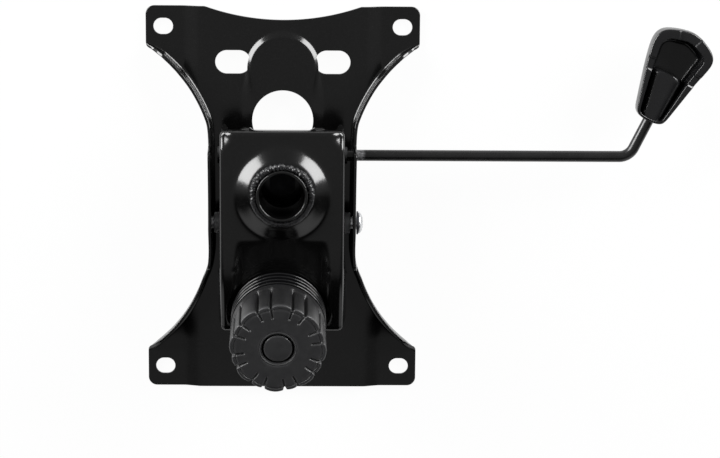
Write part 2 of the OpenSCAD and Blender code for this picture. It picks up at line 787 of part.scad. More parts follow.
// Bent rod of the release lever
module lever_rod() color("#1f2022") translate([0, rod_y, rod_height]) difference() {
    union() {
        bar_x(rod_r, rod_left, rod_corner_x - bend_tangent);
        translate([rod_corner_x - bend_tangent, rod_bend_radius, 0])
            rotate(-90) rotate_extrude(angle = arm_angle)
                translate([rod_bend_radius, 0]) circle(r = rod_r);
        translate([rod_corner_x, 0, 0]) rotate(arm_angle) {
            bar_x(rod_r, bend_tangent, arm_end);
            // Core that makes the arm and the bend one piece
            bar_x(0.7 * rod_r, bend_tangent - cut, bend_tangent + cut);
        }
    }
    translate([pin_x, 0, -tube_r]) cylinder(r = pin_r + joint_gap, h = 2 * tube_r);
}

// Pin across the rod that drives the tube
module drive_pin() color("#8f9093") translate([pin_x, rod_y, rod_height - pin_length / 2])
    cylinder(r = pin_r, h = pin_length);

// Outline of the grip, along the arm from the rod's corner
module grip_outline(inset) {
    neck_r = neck_corner - inset / 2;
    end_r = end_corner - inset;
    end_x = grip_start + grip_length;
    crown_r = grip_width * crown_share;
    hull() {
        for (side = [-1, 1]) {
            translate([grip_start + inset + neck_r, side * (grip_neck / 2 - inset - neck_r)])
                circle(r = neck_r, $fn = 32);
            translate([end_x - inset - end_r - end_back, side * (grip_width / 2 - inset - end_r)])
                circle(r = end_r, $fn = 32);
        }
        translate([end_x - inset - crown_r, 0]) circle(r = crown_r, $fn = 48);
    }
}

// Hollow hand grip on the lever's arm, open on the side away from the seat
module lever_grip() color("#1a1a1b") translate([rod_corner_x, rod_y, 0]) rotate(arm_angle)
    difference() {
        union() {
            translate([0, 0, grip_floor]) difference() {
                linear_extrude(grip_depth) grip_outline(0);
                translate([0, 0, grip_wall]) linear_extrude(grip_depth) grip_outline(grip_wall);
            }
            translate([0, 0, rod_height])
                bar_x(boss_r, grip_start + grip_wall / 2, arm_end + grip_wall);
            translate([grip_start + grip_wall, -grip_wall / 2, grip_floor + grip_wall / 2])
                cube([arm_end - grip_start, grip_wall, rod_height - grip_floor - boss_r + grip_wall]);
        }
        translate([0, 0, rod_height])
            bar_x(rod_r + joint_gap, grip_start - 2 * cut, arm_end + joint_gap);
    }

// Washer that takes the spring's push inside the knob
module thrust_washer() color("#8f9093") on_bolt()
    tube(washer_r, hub_r + washer_hub_gap, washer_top - washer_thickness, washer_top);

// Outline of the knob: broad lobes with narrow valleys between them and a groove at each change
module knob_outline() rotate(lobe_turn) difference() {
    union() {
        circle(r = knob_valley_r);
        intersection() {
            circle(r = knob_r);
            for (i = [0:knob_lobes - 1]) rotate(i * 360 / knob_lobes)
                polygon([[0, 0], 2 * knob_r * [cos(lobe_half), -sin(lobe_half)],
                         2 * knob_r * [cos(lobe_half), sin(lobe_half)]]);
        }
    }
    for (i = [0:knob_lobes - 1], side = [-1, 1])
        rotate(i * 360 / knob_lobes + side * lobe_half)
            translate([knob_valley_r + groove_lift, 0]) circle(r = groove_r, $fn = 16);
}

// Tension knob, hollow, with a hub that holds the nut
module knob() color("#2b2c2e") on_bolt() difference() {
    union() {
        translate([0, 0, knob_flutes_foot]) linear_extrude(knob_top - knob_flutes_foot)
            knob_outline();
        translate([0, 0, knob_foot]) cylinder(r = knob_r - knob_band_step, h = knob_band);
    }
    translate([0, 0, knob_foot - cut]) difference() {
        cylinder(r = knob_inner_r, h = knob_ceiling - knob_foot + cut);
        translate([0, 0, nut_foot - joint_gap - knob_foot + cut]) cylinder(r = hub_r, h = knob_ceiling);
    }
    translate([0, 0, nut_foot - 2 * joint_gap]) rotate(30)
        cylinder(d = (nut_flats + 4 * joint_gap) / cos(30), h = nut_height + 3 * joint_gap, $fn = 6);
    translate([0, 0, nut_foot]) cylinder(r = bolt_r + wide_gap, h = knob_top);
    translate([0, 0, knob_top - cap_depth])
        cylinder(r = cap_dia / 2 + side_gap, h = 2 * cap_depth);
}

// Nut in the knob's hub
module knob_nut() color("#8f9093") on_bolt() difference() {
    translate([0, 0, nut_foot]) rotate(30)
        cylinder(d = nut_flats / cos(30), h = nut_height, $fn = 6);
    translate([0, 0, nut_foot - cut]) cylinder(r = bolt_r + running, h = nut_height + 2 * cut);
}

// Cap over the bolt in the knob's face
module knob_cap() color("#2f3032") on_bolt()
    translate([0, 0, knob_top - cap_depth + joint_gap])
        cylinder(d = cap_dia, h = cap_depth - joint_gap - cap_sink);

seat_plate();
bolt_saddle();
tension_bolt();
pivot_axle();
axle_washer();
bump_pads();
housing();
column_socket();
weld_bead();
pivot_sleeve();
pivot_bush_left();
pivot_bush_right();
lever_bush_left();
lever_bush_right();
spring_seat();
tension_spring();
ribbed_sleeve();
release_tube();
release_tongue();
lever_rod();
drive_pin();
lever_grip();
thrust_washer();
knob();
knob_nut();
knob_cap();
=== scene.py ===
# Tilt mechanism of an office chair, laid out as a Blender add-on and run as a script.
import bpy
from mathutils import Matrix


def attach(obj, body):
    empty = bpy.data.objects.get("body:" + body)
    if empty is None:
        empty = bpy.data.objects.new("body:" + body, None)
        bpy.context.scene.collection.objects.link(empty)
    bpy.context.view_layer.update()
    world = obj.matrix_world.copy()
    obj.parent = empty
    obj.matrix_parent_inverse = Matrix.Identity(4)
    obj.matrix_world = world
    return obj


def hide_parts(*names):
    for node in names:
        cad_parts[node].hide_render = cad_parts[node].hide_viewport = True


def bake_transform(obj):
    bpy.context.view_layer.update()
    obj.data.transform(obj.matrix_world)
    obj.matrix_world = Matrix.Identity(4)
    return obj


bl_info = {
    "name": "Chair Tilt Mechanism",
    "version": (1, 0, 0),
    "blender": (4, 5, 0),
    "location": "3D View > Sidebar > Tilt Mechanism",
    "description": "Builds the seat plate, column housing, tension knob and release lever",
    "category": "Add Mesh",
}

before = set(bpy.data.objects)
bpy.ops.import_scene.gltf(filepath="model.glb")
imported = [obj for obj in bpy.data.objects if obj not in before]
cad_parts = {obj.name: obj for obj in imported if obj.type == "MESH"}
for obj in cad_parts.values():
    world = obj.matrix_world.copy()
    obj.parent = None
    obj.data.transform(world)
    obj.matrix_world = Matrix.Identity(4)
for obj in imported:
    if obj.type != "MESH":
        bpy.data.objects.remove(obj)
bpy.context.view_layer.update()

import bmesh
import bpy
import numpy as np
from mathutils import Matrix, Vector

# ---------------------------------------------------------------- sizes, mm
MM = 0.001
# Points closer than this are one point
MERGE = 2e-6

# Seat plate: half width and length, corner, sheet, levels, half width at the waist
PLATE_HALF_X, PLATE_HALF_Y, EAR_CORNER = 86.0, 123.0, 5.5
SHEET, EAR_TOP, WEB_TOP = 2.0, 2.0, 5.0
WAIST_HALF = 46.7
# Half width of the plate's side from the waist to the ears, at distances along Y
SIDE_Y = (-102.0, -98.8, -94.0, -90.0, -85.0, -80.0, -75.0, -70.0, -65.0, -60.0, -55.0, -50.0,
          -46.0, -42.0, -36.0, -11.0, 20.0, 36.0, 42.0, 46.3, 51.2, 56.1, 61.0, 65.8, 70.7,
          75.6, 80.5, 85.4, 90.3, 92.7, 94.8, 96.8, 98.8, 102.0)
SIDE_X = (86.0, 85.9, 81.4, 76.9, 71.6, 67.2, 63.4, 60.1, 57.2, 54.7, 52.5, 50.6,
          48.9, 47.6, 46.5, 46.1, 46.2, 46.4, 46.5, 46.8, 47.6, 49.4, 51.6, 54.1, 57.0,
          60.4, 64.4, 68.9, 74.2, 77.3, 80.6, 83.7, 85.9, 86.0)
# Step from the web down to the ears: its two ends across the plate, and where along the plate
# it runs out and where it is full
STEP_START, STEP_END, STEP_OUT, STEP_FULL = 52.5, 62.5, 62.0, 92.0
# Arch: radius and centre of its half disc, rise, front end and the place where it narrows; how
# far out its ramp begins, the ramp's width, and how much wider that gets along the sides
ARCH_R, ARCH_Y, ARCH_RISE, ARCH_START, ARCH_NARROWS = 22.0, 84.0, 2.6, 40.0, 62.0
ARCH_OUT, ARCH_RAMP, ARCH_GENTLE = 1.8, 3.7, 3.0
# Shares of smoothstep in the ramps of step and arch
STEP_EASE, ARCH_EASE = 0.2, 0.25
# Hollow in the plate's rear edge: depth in the middle, radius, and where it starts
SCOOP_DEPTH, SCOOP_R, SCOOP_START = 8.4, 147.1, 96.0
# Upper edge of the flanges along the plate's length
EDGE_Y = (-99.0, -98.0, -97.0, -95.6, -93.6, -90.5, -42.6, -41.4, -40.6, -39.7, -38.4, -36.7,
          33.4, 34.8, 35.7, 36.3, 37.0, 38.2, 90.5, 93.5, 95.6, 97.0, 98.0, 99.0)
EDGE_Z = (2.0, 2.8, 5.0, 7.2, 9.2, 10.2, 12.0, 12.6, 18.0, 33.0, 37.0, 38.0,
          38.0, 37.4, 35.0, 29.0, 24.8, 23.8, 13.2, 11.6, 8.6, 5.2, 2.8, 2.0)
# Rows of the plate's grid: where their spacing changes and how many lie between, and the part
# of its half width in which columns stand still
ROW_ENDS, ROWS = (-100, -94, -90, -47, -35, 30, 40, 84, 109), (13, 9, 5, 32, 24, 38, 10, 32, 42, 7)
STILL_HALF, STILL_DENSE = 40, 26
# Holes (length, width, x, y): seat slots, oblongs beside the arch, window
SEAT_SLOT, OBLONG = (12.2, 10.2, 75, 110), (22.2, 14.8, 31.3, 88)
PLATE_WINDOW = (38.4, 38.4, 0, 51.2)

# Pivot and lever axes, half width of the lever's slot and angle of the tilt
PIVOT_Y, PIVOT_Z = -11.0, 23.0
ROD_Y, ROD_Z, ROD_R = 32.0, 22.0, 3.5
SLOT_HALF, TILT = 4.2, np.radians(10.0)
# Widths of the round holes for axle and rod, in the flanges and in the housing's walls
AXLE_HOLE, ROD_HOLE, AXLE_BORE, ROD_BORE = 8.1, 7.6, 11.1, 9.3
# Axle: end, radius and radius of its head, the gap for the washer under it, its side and dome
AXLE_END, AXLE_R, HEAD_R = -46.4, 4.0, 6.5
HEAD_GAP, HEAD_SIDE, HEAD_DOME = 1.05, 0.7, 2.0
# Bushes: bore, radii and places along the axle
BUSH_BORE, BUSH_R, COLLAR_R = 4.05, 5.5, 6.7
BUSH_START, COLLAR_START, BUSH_END = 33.0, 38.55, 42.9

# Housing: half width, ends, face, sheet, corners, walls' feet, slope and recess
HOUSING_HALF, HOUSING_REAR, HOUSING_FRONT = 38.5, 51.5, -78.0
HOUSING_TOP, HOUSING_SHEET, HOUSING_CORNER, FRONT_CORNER = 50.0, 2.5, 3.8, 3.2
FOOT_FRONT, FOOT_REAR, REAR_LIP = 9.0, 18.5, 8.0
SLOPE = np.radians(12.5)
SLOPE_Y, RAIL_Y, RECESS_HALF = -17.0, -45.0, 29.0
DOME_FOOT, DOME_COLLAR, DOME_RISE = 29.5, 20.4, 7.5
# Widths over which the kinks of rails, slope and dome are rounded, and how far the recess's
# straight and round edges run, from the side that is not sunk
RAIL_KINK, SLOPE_KINK, DOME_KINK = 8.0, 2.0, 0.22
RECESS_EDGE, RECESS_ROUND = (-1.5, 4.5), (-2.2, 0.6)
# Ends of the opening in the rear wall to each side: where it is full and where it ends
OPENING = (33.0, 36.8)
# Fall of the rear corners: points it runs round, depth, and distances where it begins and ends
FALL_X, FALL_Y, FALL_DEPTH, FALL_NEAR, FALL_FAR = 41.0, 49.2, 3.6, 2.5, 11.3
# Dents: their places across the housing and along it, depth and square of their reach
DENT_X, DENT_Y, DENT_DEPTH, DENT_SPREAD = (-29.6, 29.0), -36.5, 0.4, 1.6
# Rays of the housing's grid along its long and short sides
LONG_RAYS, SHORT_RAYS = 92, 52
# Socket tube: place, radii, ends, depth of its straight mouth, taper below, gap to the housing
COLUMN_Y = 13.0
SOCKET_R, BORE_R, SOCKET_TOP, SOCKET_END = 15.9, 14.0, 61.0, 28.2
MOUTH, TAPER, SOCKET_GAP = 6.0, np.radians(1.4378), 0.35
# Ripples of the weld bead: count round the socket, first angle, lean, and count of their sway
RIPPLES = ((19, 0.3, 1.2, 5), (29, 2.1, -0.8, 7), (43, 4.0, 1.9, 4), (61, 1.3, -2.2, 9))

# Tension bolt's axis from the sloped face, and what sits on it
BOLT_X, BOLT_Y = -2.0, -65.9
BOLT_Z = HOUSING_TOP + np.tan(SLOPE) * (BOLT_Y - SLOPE_Y)
BOLT_SLOT = (19.5, 13.0)
KNOB_R, KNOB_FOOT, KNOB_TOP, KNOB_INNER, KNOB_ROOF = 29.6, 18.0, 48.8, 25.7, 42.7
LOBES, LOBE_HALF, LOBE_TURN = 8, np.radians(13.75), np.radians(-5.0)
# Cap, floor of its well, hole for the bolt, and hub with the nut's seat
CAP_R, WELL_FLOOR, BOLT_HOLE_R = 9.0, 44.2, 5.7
HUB_R, NUT_R, NUT_FOOT, NUT_TOP = 12.1, 9.95, 30.0, 38.5
SPRING_R, WIRE_R, SPRING_TURNS = 19.2, 2.3, 5
SPRING_FOOT, SPRING_HEAD, END_PITCH = 4.2, 38.5, 5.2
SLEEVE_OUTER, SLEEVE_INNER, SLEEVE_FOOT, SLEEVE_SPLIT, SLEEVE_HEAD = 25.2, 24.3, 0.35, 13.6, 24.0
RIBS, RIB_R, RIB_FOOT, RIB_PITCH, RIB_NOSE = 4, 29.7, 2.6, 4.4, 0.75

# Lever: corner of the bent rod, bend, arm's angle, ends of the rod and their rounding
CORNER_X, BEND_R, ARM = 217.4, 10.0, np.radians(64.0)
ROD_LEFT, ARM_END, ROD_ROUND = -36.0, 56.5, 0.9
# Grip: floor and rim, and its boss along the arm: ends, half widths there, half height and
# squareness. Rounds of its back, of the rim outside and inside, and of the hollow's floor
GRIP_FLOOR, GRIP_RIM, HOLLOW_FLOOR = 13.2, 29.2, 15.4
BACK_ROUND, RIM_ROUND, RIM_INNER, HOLLOW_ROUND = 5.5, 1.1, 0.5, 3.2
BOSS_START, BOSS_END, BOSS_NARROW, BOSS_WIDE = 27.6, 54.5, 6.2, 9.4
BOSS_HIGH, BOSS_POWER = 6.1, 3.0
# Outline of the grip along the arm and to its left, from the middle of the neck round
GRIP_OUTLINE = ((26.6, 1.3), (26.9, 5.2), (28.0, 8.4), (30.6, 10.3), (37.0, 12.2), (46.0, 14.8),
                (56.0, 17.5), (65.0, 19.6), (71.0, 20.6), (75.6, 20.5), (79.3, 19.0),
                (81.9, 16.0), (84.0, 11.0), (85.6, 5.2), (86.2, 0.0), (85.3, -5.2),
                (83.2, -10.0), (80.8, -14.0), (77.4, -16.8), (73.2, -17.4), (66.0, -15.9),
                (56.0, -13.5), (45.0, -11.3), (36.0, -9.5), (30.8, -8.3), (28.2, -6.6),
                (26.9, -2.8))

# Stage: half width and level of the floor in mm; size, aim and places of the soft boxes in
# metres; directions of the room's dim windows
FLOOR_HALF, FLOOR_Z = 4000.0, -0.4
BOX_SIZE, BOX_AIM = (1.75, 1.15), (0.05, 0.0, 0.03)
BOX_PLACES = {"left": (-2.0, 1.05, 0.85), "right": (1.95, 1.18, 0.85)}
ROOM_WINDOWS = ((-0.53, -0.78, 0.34), (0.47, -0.82, 0.34))
# Camera: turns about X, Y and Z in degrees, distance and aim in metres, lens and sensor in mm
CAMERA_TURN, CAMERA_AWAY, CAMERA_AIM = (12.17, 1.34, -0.23), 1.6, (-0.0493, 0.0197, 0.0)
LENS, SENSOR = 125.6, 36.0


# ---------------------------------------------------------------- colours
def srgb(code):
    """Linear RGBA of an sRGB hex colour."""
    value = np.array([int(code[i:i + 2], 16) for i in (1, 3, 5)]) / 255
    linear = np.where(value <= 0.04045, value / 12.92, ((value + 0.055) / 1.055) ** 2.4)
    return (*linear.tolist(), 1.0)


def rgba(colour):
    """RGBA of a colour property."""
    return (*tuple(colour)[:3], 1.0)


class TiltFinishes(bpy.types.PropertyGroup):
    """Colours of the finishes"""
    coat: bpy.props.FloatVectorProperty(
        name="Powder coat", description="Colour of the coated sheet and rod",
        subtype="COLOR", size=3, min=0, max=1, default=srgb("#050505")[:3])
    knob: bpy.props.FloatVectorProperty(
        name="Knob", description="Colour of the moulded tension knob",
        subtype="COLOR", size=3, min=0, max=1, default=srgb("#2b2b2c")[:3])
    grip: bpy.props.FloatVectorProperty(
        name="Grip", description="Colour of the lever's moulded grip",
        subtype="COLOR", size=3, min=0, max=1, default=srgb("#0e0e0f")[:3])
    zinc: bpy.props.FloatVectorProperty(
        name="Zinc", description="Colour of plated axle, bolt, nut and pin",
        subtype="COLOR", size=3, min=0, max=1, default=srgb("#dddee0")[:3])
    nylon: bpy.props.FloatVectorProperty(
        name="Bushes", description="Colour of the pivot bushes",
        subtype="COLOR", size=3, min=0, max=1, default=srgb("#d4d5d7")[:3])
    rubber: bpy.props.FloatVectorProperty(
        name="Rubber", description="Colour of the stops and the ribbed sleeve",
        subtype="COLOR", size=3, min=0, max=1, default=srgb("#0a0a0b")[:3])


class TiltSizes(bpy.types.PropertyGroup):
    """Sizes that give the pressed and moulded pieces their character"""
    plate_bend: bpy.props.FloatProperty(
        name="Plate bend", description="Inner radius of the bends along the plate's flanges",
        unit="LENGTH", min=0.001, max=0.004, default=0.0017)
    sheet_edge: bpy.props.FloatProperty(
        name="Sheet edge", description="Rounding of the sheets' cut edges under their coat",
        unit="LENGTH", min=0.0002, max=0.0009, default=0.0005)
    housing_fillet: bpy.props.FloatProperty(
        name="Housing fillet", description="Outer radius along the housing's upper edges",
        unit="LENGTH", min=0.002, max=0.0045, default=0.0028)
    wall_lean: bpy.props.FloatProperty(
        name="Wall lean", description="How far the housing's lower front walls lean out",
        unit="LENGTH", min=0, max=0.003, default=0.002)
    knob_groove: bpy.props.FloatProperty(
        name="Knob groove", description="Depth of the grooves between the knob's lobes",
        unit="LENGTH", min=0.0003, max=0.002, default=0.0015)
    weld_width: bpy.props.FloatProperty(
        name="Weld width", description="Half the width of the bead round the socket",
        unit="LENGTH", min=0.001, max=0.0026, default=0.0021)


class TiltLight(bpy.types.PropertyGroup):
    """Levels of the studio light"""
    soft_boxes: bpy.props.FloatProperty(
        name="Soft boxes", description="Power of each of the two soft boxes",
        unit="POWER", min=0, default=105.0)
    room: bpy.props.FloatProperty(
        name="Room", description="Strength of the even light from all round",
        min=0, max=1, default=0.12)


# ---------------------------------------------------------------- surfaces
def smooth(value, start, end):
    """Smoothstep: 0 up to start, 1 from end, 3 t squared less 2 t cubed between."""
    t = np.clip((value - start) / (end - start), 0, 1)
    return t * t * (3 - 2 * t)


def eased(t, share):
    """Straight ramp from 0 to 1 with a share of smoothstep in it."""
    return (1 - share) * t + share * t ** 2 * (3 - 2 * t)


def band(value, start, end, width):
    """1 between start and end, running out to 0 over a width inside both."""
    return smooth(value, start, start + width) * (1 - smooth(value, end - width, end))


def cubic(t, first, second, rise, fall):
    """Cubic from a first to a second value with given slopes at t = 0 and t = 1."""
    return ((2 * t ** 3 - 3 * t ** 2 + 1) * first + (t ** 3 - 2 * t ** 2 + t) * rise
            + (3 * t ** 2 - 2 * t ** 3) * second + (t ** 3 - t ** 2) * fall)


def soft_max(a, b, width):
    """Larger of two values, with the kink between them rounded over a width."""
    return (a + b + np.sqrt((a - b) ** 2 + width ** 2)) / 2


def polar(radius, angle, *height):
    """Points at a radius and an angle about the origin, and at a height where one is given."""
    return np.stack(np.broadcast_arrays(radius * np.cos(angle), radius * np.sin(angle),
                                        *height), -1)


def grid_faces(rows, cols, wrap=False):
    """Quads of a grid of points, each between two rows and two columns."""
    here = np.arange(rows * cols).reshape(rows, cols)
    after = np.roll(here, -1, axis=1)
    if not wrap:
        here, after = here[:, :-1], after[:, :-1]
    return np.stack([here[:-1], after[:-1], after[1:], here[1:]], -1).reshape(-1, 4)


def grid(points, wrap=False):
    """A part made of one grid of points."""
    return points, grid_faces(points.shape[0], points.shape[1], wrap)


def unit(vectors):
    """Vectors divided by their length."""
    return vectors / np.maximum(np.linalg.norm(vectors, axis=-1, keepdims=True), 1e-9)


def rounded(corners, steps=4):
    """Profile with its corners rounded: at each (a, b, radius) a parabola joins the points that
    lie a radius away along both neighbouring sides."""
    path = []
    for i, (a, b, radius) in enumerate(corners):
        here = np.array([a, b], float)
        if radius == 0:
            path.append(here[None])
            continue
        back = np.array(corners[i - 1][:2], float) - here
        ahead = np.array(corners[(i + 1) % len(corners)][:2], float) - here
        back = back * min(radius / np.linalg.norm(back), 0.5)
        ahead = ahead * min(radius / np.linalg.norm(ahead), 0.5)
        t = np.linspace(0, 1, steps + 1)[:, None]
        path.append(here + (1 - t) ** 2 * back + t ** 2 * ahead)
    return np.concatenate(path)


def turned(profile, count=96, closed=False):
    """Surface of revolution: each profile point (radius, height) goes round the Z axis."""
    profile = np.asarray(profile, float)
    if closed:
        profile = np.concatenate([profile, profile[:1]])
    angle = np.linspace(0, 2 * np.pi, count, endpoint=False)[None]
    return polar(profile[:, :1], angle, profile[:, 1:])


def tube(path, side, radius, count=24):
    """Round bar along a path: each point carries a circle in the plane of its side vector and
    of the cross product of that and the path's direction."""
    along = unit(np.gradient(path, axis=0))
    up = unit(np.cross(along, side))
    angle = np.linspace(0, 2 * np.pi, count, endpoint=False)[None, :, None]
    radius = np.broadcast_to(np.asarray(radius, float), (len(path),))[:, None, None]
    return path[:, None] + radius * (np.cos(angle) * side[:, None] + np.sin(angle) * up[:, None])


def sheet_of(points, thickness, edge, wrap=False, flip=1):
    """Closed sheet: the grid, the same grid moved back along its normals by the thickness, and
    along each free edge a strip that swings out by the edge radius, runs straight and swings
    back in. The normals are cross products of the differences across and down the grid."""
    rows, cols = points.shape[:2]
    across = np.roll(points, -1, 1) - np.roll(points, 1, 1) if wrap \
        else np.gradient(points, axis=1)
    normal = unit(np.cross(across, np.gradient(points, axis=0))) * flip
    cells = np.arange(rows * cols).reshape(rows, cols)
    if wrap:
        loops = [(cells[0], cells[1]), (cells[-1], cells[-2])]
    else:
        def ring(c):
            """Cells round the border of a grid, in order."""
            return np.concatenate([c[0], c[1:, -1], c[-1, -2::-1], c[-2:0:-1, 0]])
        near = np.ix_(np.clip(np.arange(rows), 1, rows - 2), np.clip(np.arange(cols), 1, cols - 2))
        loops = [(ring(cells), ring(cells[near]))]
    flat, flat_normal = points.reshape(-1, 3), normal.reshape(-1, 3)
    swing = np.radians([0, 30, 60, 90])
    out = np.concatenate([edge * np.sin(swing), edge * np.sin(swing[::-1])])
    sink = np.concatenate([edge * (1 - np.cos(swing)),
                           thickness - edge * (1 - np.cos(swing[::-1]))])
    parts = [grid(points, wrap), grid(points - thickness * normal, wrap)]
    for loop, inside in loops:
        here, up = flat[loop], flat_normal[loop]
        away = unit(np.cross(np.roll(here, -1, 0) - np.roll(here, 1, 0), up))
        away *= np.sign(np.sum(away * (here - flat[inside]), -1).mean())
        parts.append(grid(here[None] + out[:, None, None] * away[None]
                          - sink[:, None, None] * up[None], True))
    return parts


def capped(rings):
    """Rings of points with one more at each end, drawn together in its middle."""
    first, last = (np.broadcast_to(r.mean(0), r.shape)[None] for r in (rings[0], rings[-1]))
    return np.concatenate([first, rings, last])


def prism(outline, levels):
    """Closed stack of outlines: outline(growth) is drawn at each level, and both ends close on
    their middle."""
    rings = [np.column_stack([outline(grow), np.full(len(outline(grow)), level)])
             for level, grow in levels]
    return grid(capped(np.stack(rings)), True)


def oblong(length, width, x=0.0, y=0.0, count=32):
    """Outline of a slot along X with round ends, grown by an amount."""
    angle = np.linspace(-np.pi / 2, 3 * np.pi / 2, 2 * count, endpoint=False) + np.pi / (2 * count)
    middle = np.column_stack([x + np.where(np.cos(angle) > 0, 1, -1) * (length - width) / 2,
                              np.full(2 * count, y)])
    return lambda grow: middle + polar(width / 2 + grow, angle)


def on_bolt(points):
    """Points whose Z runs along the bolt from the sloped face, turned about X by the slope and
    moved to the bolt."""
    c, s = np.cos(SLOPE), np.sin(SLOPE)
    return np.stack([BOLT_X + points[..., 0], BOLT_Y + c * points[..., 1] - s * points[..., 2],
                     BOLT_Z + s * points[..., 1] + c * points[..., 2]], -1)


def along_x(points, y, z):
    """Points whose Z runs along X, moved to a place in Y and Z."""
    return np.stack([points[..., 2], y + points[..., 0], z + points[..., 1]], -1)


def drill(outline, levels, y, z):
    """Prism whose levels lie along X, moved to a place in Y and Z."""
    points, faces = prism(outline, levels)
    return along_x(points, y, z), faces


# ---------------------------------------------------------------- pieces
def shell(name, parts):
    """Mesh in metres of parts given in millimetres, with doubles merged and faces outward."""
    points, faces, start = [], [], 0
    for part_points, part_faces in parts:
        points.append(part_points.reshape(-1, 3) * MM)
        faces += (part_faces + start).tolist()
        start += len(points[-1])
    mesh = bpy.data.meshes.new(name)
    mesh.from_pydata(np.concatenate(points).tolist(), [], faces)
    work = bmesh.new()
    work.from_mesh(mesh)
    bmesh.ops.remove_doubles(work, verts=work.verts, dist=MERGE)
    bmesh.ops.dissolve_degenerate(work, edges=work.edges, dist=MERGE)
    bmesh.ops.recalc_face_normals(work, faces=work.faces)
    work.to_mesh(mesh)
    work.free()
    return mesh


def piece(name, parts, material, body, nodes, cutters=(), sharp=38):
    """Object of the parts less the cutters, shaded smooth below an angle, riding on its body in
    place of CAD nodes."""
    made = bpy.data.objects.new(name, shell(name, parts))
    bpy.context.scene.collection.objects.link(made)
    if cutters:
        tool = bpy.data.objects.new("cutter", shell("cutter", cutters))
        bpy.context.scene.collection.objects.link(tool)
        cut = made.modifiers.new("holes", "BOOLEAN")
        cut.object, cut.operation, cut.solver = tool, "DIFFERENCE", "EXACT"
        bpy.context.view_layer.update()
        uncut = made.data
        holed = bpy.data.meshes.new_from_object(
            made.evaluated_get(bpy.context.evaluated_depsgraph_get()))
        made.modifiers.clear()
        if len(holed.polygons) < len(uncut.polygons) / 2:
            raise RuntimeError(f"cutting the holes of {name} lost its faces")
        made.data = holed
        holed.name = name
        bpy.data.meshes.remove(uncut)
        bpy.data.objects.remove(tool)
    made.data.materials.clear()
    made.data.materials.append(material)
    made.data.shade_smooth()
    made.data.set_sharp_from_angle(angle=np.radians(sharp))
    if isinstance(body, str):
        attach(made, body)
    if nodes:
        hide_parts(*nodes)
    return made


def finish_nodes(material, *nodes):
    """Give carried-over CAD nodes a material."""
    for node in nodes:
        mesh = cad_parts[node].data
        mesh.materials.clear()
        mesh.materials.append(material)


# ---------------------------------------------------------------- materials
def add_node(tree, kind, inputs=None, **settings):
    """Add a node with its settings, and give each input a value or a link."""
    node = tree.nodes.new(kind)
    for key, value in settings.items():
        setattr(node, key, value)
    for key, value in (inputs or {}).items():
        if isinstance(value, bpy.types.NodeSocket):
            tree.links.new(value, node.inputs[key])
        else:
            node.inputs[key].default_value = value
    return node


def patches(tree, place, size, low, high, detail=2.0):
    """Noise with features of a size in mm, mapped to run from low to high."""
    noise = add_node(tree, "ShaderNodeTexNoise",
                     {"Vector": place, "Scale": 1 / (size * MM), "Detail": detail})
    return add_node(tree, "ShaderNodeMapRange",
                    {"Value": noise.outputs["Fac"], "From Min": 0.3, "From Max": 0.7,
                     "To Min": low, "To Max": high}).outputs["Result"]


def times(colour, factor):
    """Colour made paler or darker by a factor."""
    return (*(factor * c for c in colour[:3]), 1.0)


def make_finish(name, clouds, rough, grain, over=None, **values):
    """Material on Object coordinates. Clouds (size in mm, detail, colour, colour) mix two
    colours, and the roughness drifts in patches (size in mm, low, high, detail). Each (size in
    mm, depth in mm, detail) of the grain is noise that lifts the surface. A layer over the
    clouds gives the share, the colour below and the colour above of one more mix. The values
    are constants of the shader."""
    material = bpy.data.materials.get(name)
    if material:
        return material
    material = bpy.data.materials.new(name)
    material.use_nodes = True
    tree = material.node_tree
    shader = tree.nodes["Principled BSDF"]
    for socket, value in values.items():
        shader.inputs[socket].default_value = value
    place = add_node(tree, "ShaderNodeTexCoord").outputs["Object"]
    size, detail, first, second = clouds
    cloud = patches(tree, place, size, 0, 1, detail)
    colour = add_node(tree, "ShaderNodeMix", {0: cloud, 6: first, 7: second},
                      data_type="RGBA").outputs[2]
    if over:
        share, below, above = over(tree, place, colour)
        colour = add_node(tree, "ShaderNodeMix", {0: share, 6: below, 7: above},
                          data_type="RGBA").outputs[2]
    tree.links.new(colour, shader.inputs["Base Color"])
    tree.links.new(patches(tree, place, *rough), shader.inputs["Roughness"])
    normal = None
    for size, depth, detail in grain:
        noise = add_node(tree, "ShaderNodeTexNoise",
                         {"Vector": place, "Scale": 1 / (size * MM), "Detail": detail})
        inputs = {"Height": noise.outputs["Fac"], "Distance": depth * MM, "Strength": 1.0}
        if normal:
            inputs["Normal"] = normal
        normal = add_node(tree, "ShaderNodeBump", inputs).outputs["Normal"]
    tree.links.new(normal, shader.inputs["Normal"])
    return material


def powder_coat(colours):
    """Epoxy powder baked on steel: satin black with a fine orange peel of about 1.5 mm, a
    little dust and rubbed patches that shift the gloss."""
    def dust(tree, place, below):
        """Few faint specks of 0.9 mm: a small part of the noise's third power."""
        speck = patches(tree, place, 0.9, 0, 1, 1)
        few = add_node(tree, "ShaderNodeMath", {0: speck, 1: 3.0}, operation="POWER")
        faint = add_node(tree, "ShaderNodeMath", {0: few.outputs[0], 1: 0.03},
                         operation="MULTIPLY")
        return faint.outputs[0], below, srgb("#4a4a4b")

    coat = rgba(colours.coat)
    return make_finish("powder_coat_black", (34, 3, coat, times(coat, 1.5)), (22, 0.155, 0.2, 3),
                       [(1.5, 0.008, 1.0), (14, 0.05, 1.0)], dust, IOR=1.5)


def weld_metal(colours):
    """Powder coat over a weld: thinner and glossier on the ripples, with spatter of 1 mm."""
    return make_finish("powder_coat_over_weld", (1.4, 3, rgba(colours.coat), srgb("#242426")),
                       (2.0, 0.18, 0.4, 3), [(1.1, 0.16, 2.0), (3.0, 0.3, 1.0)], IOR=1.5)


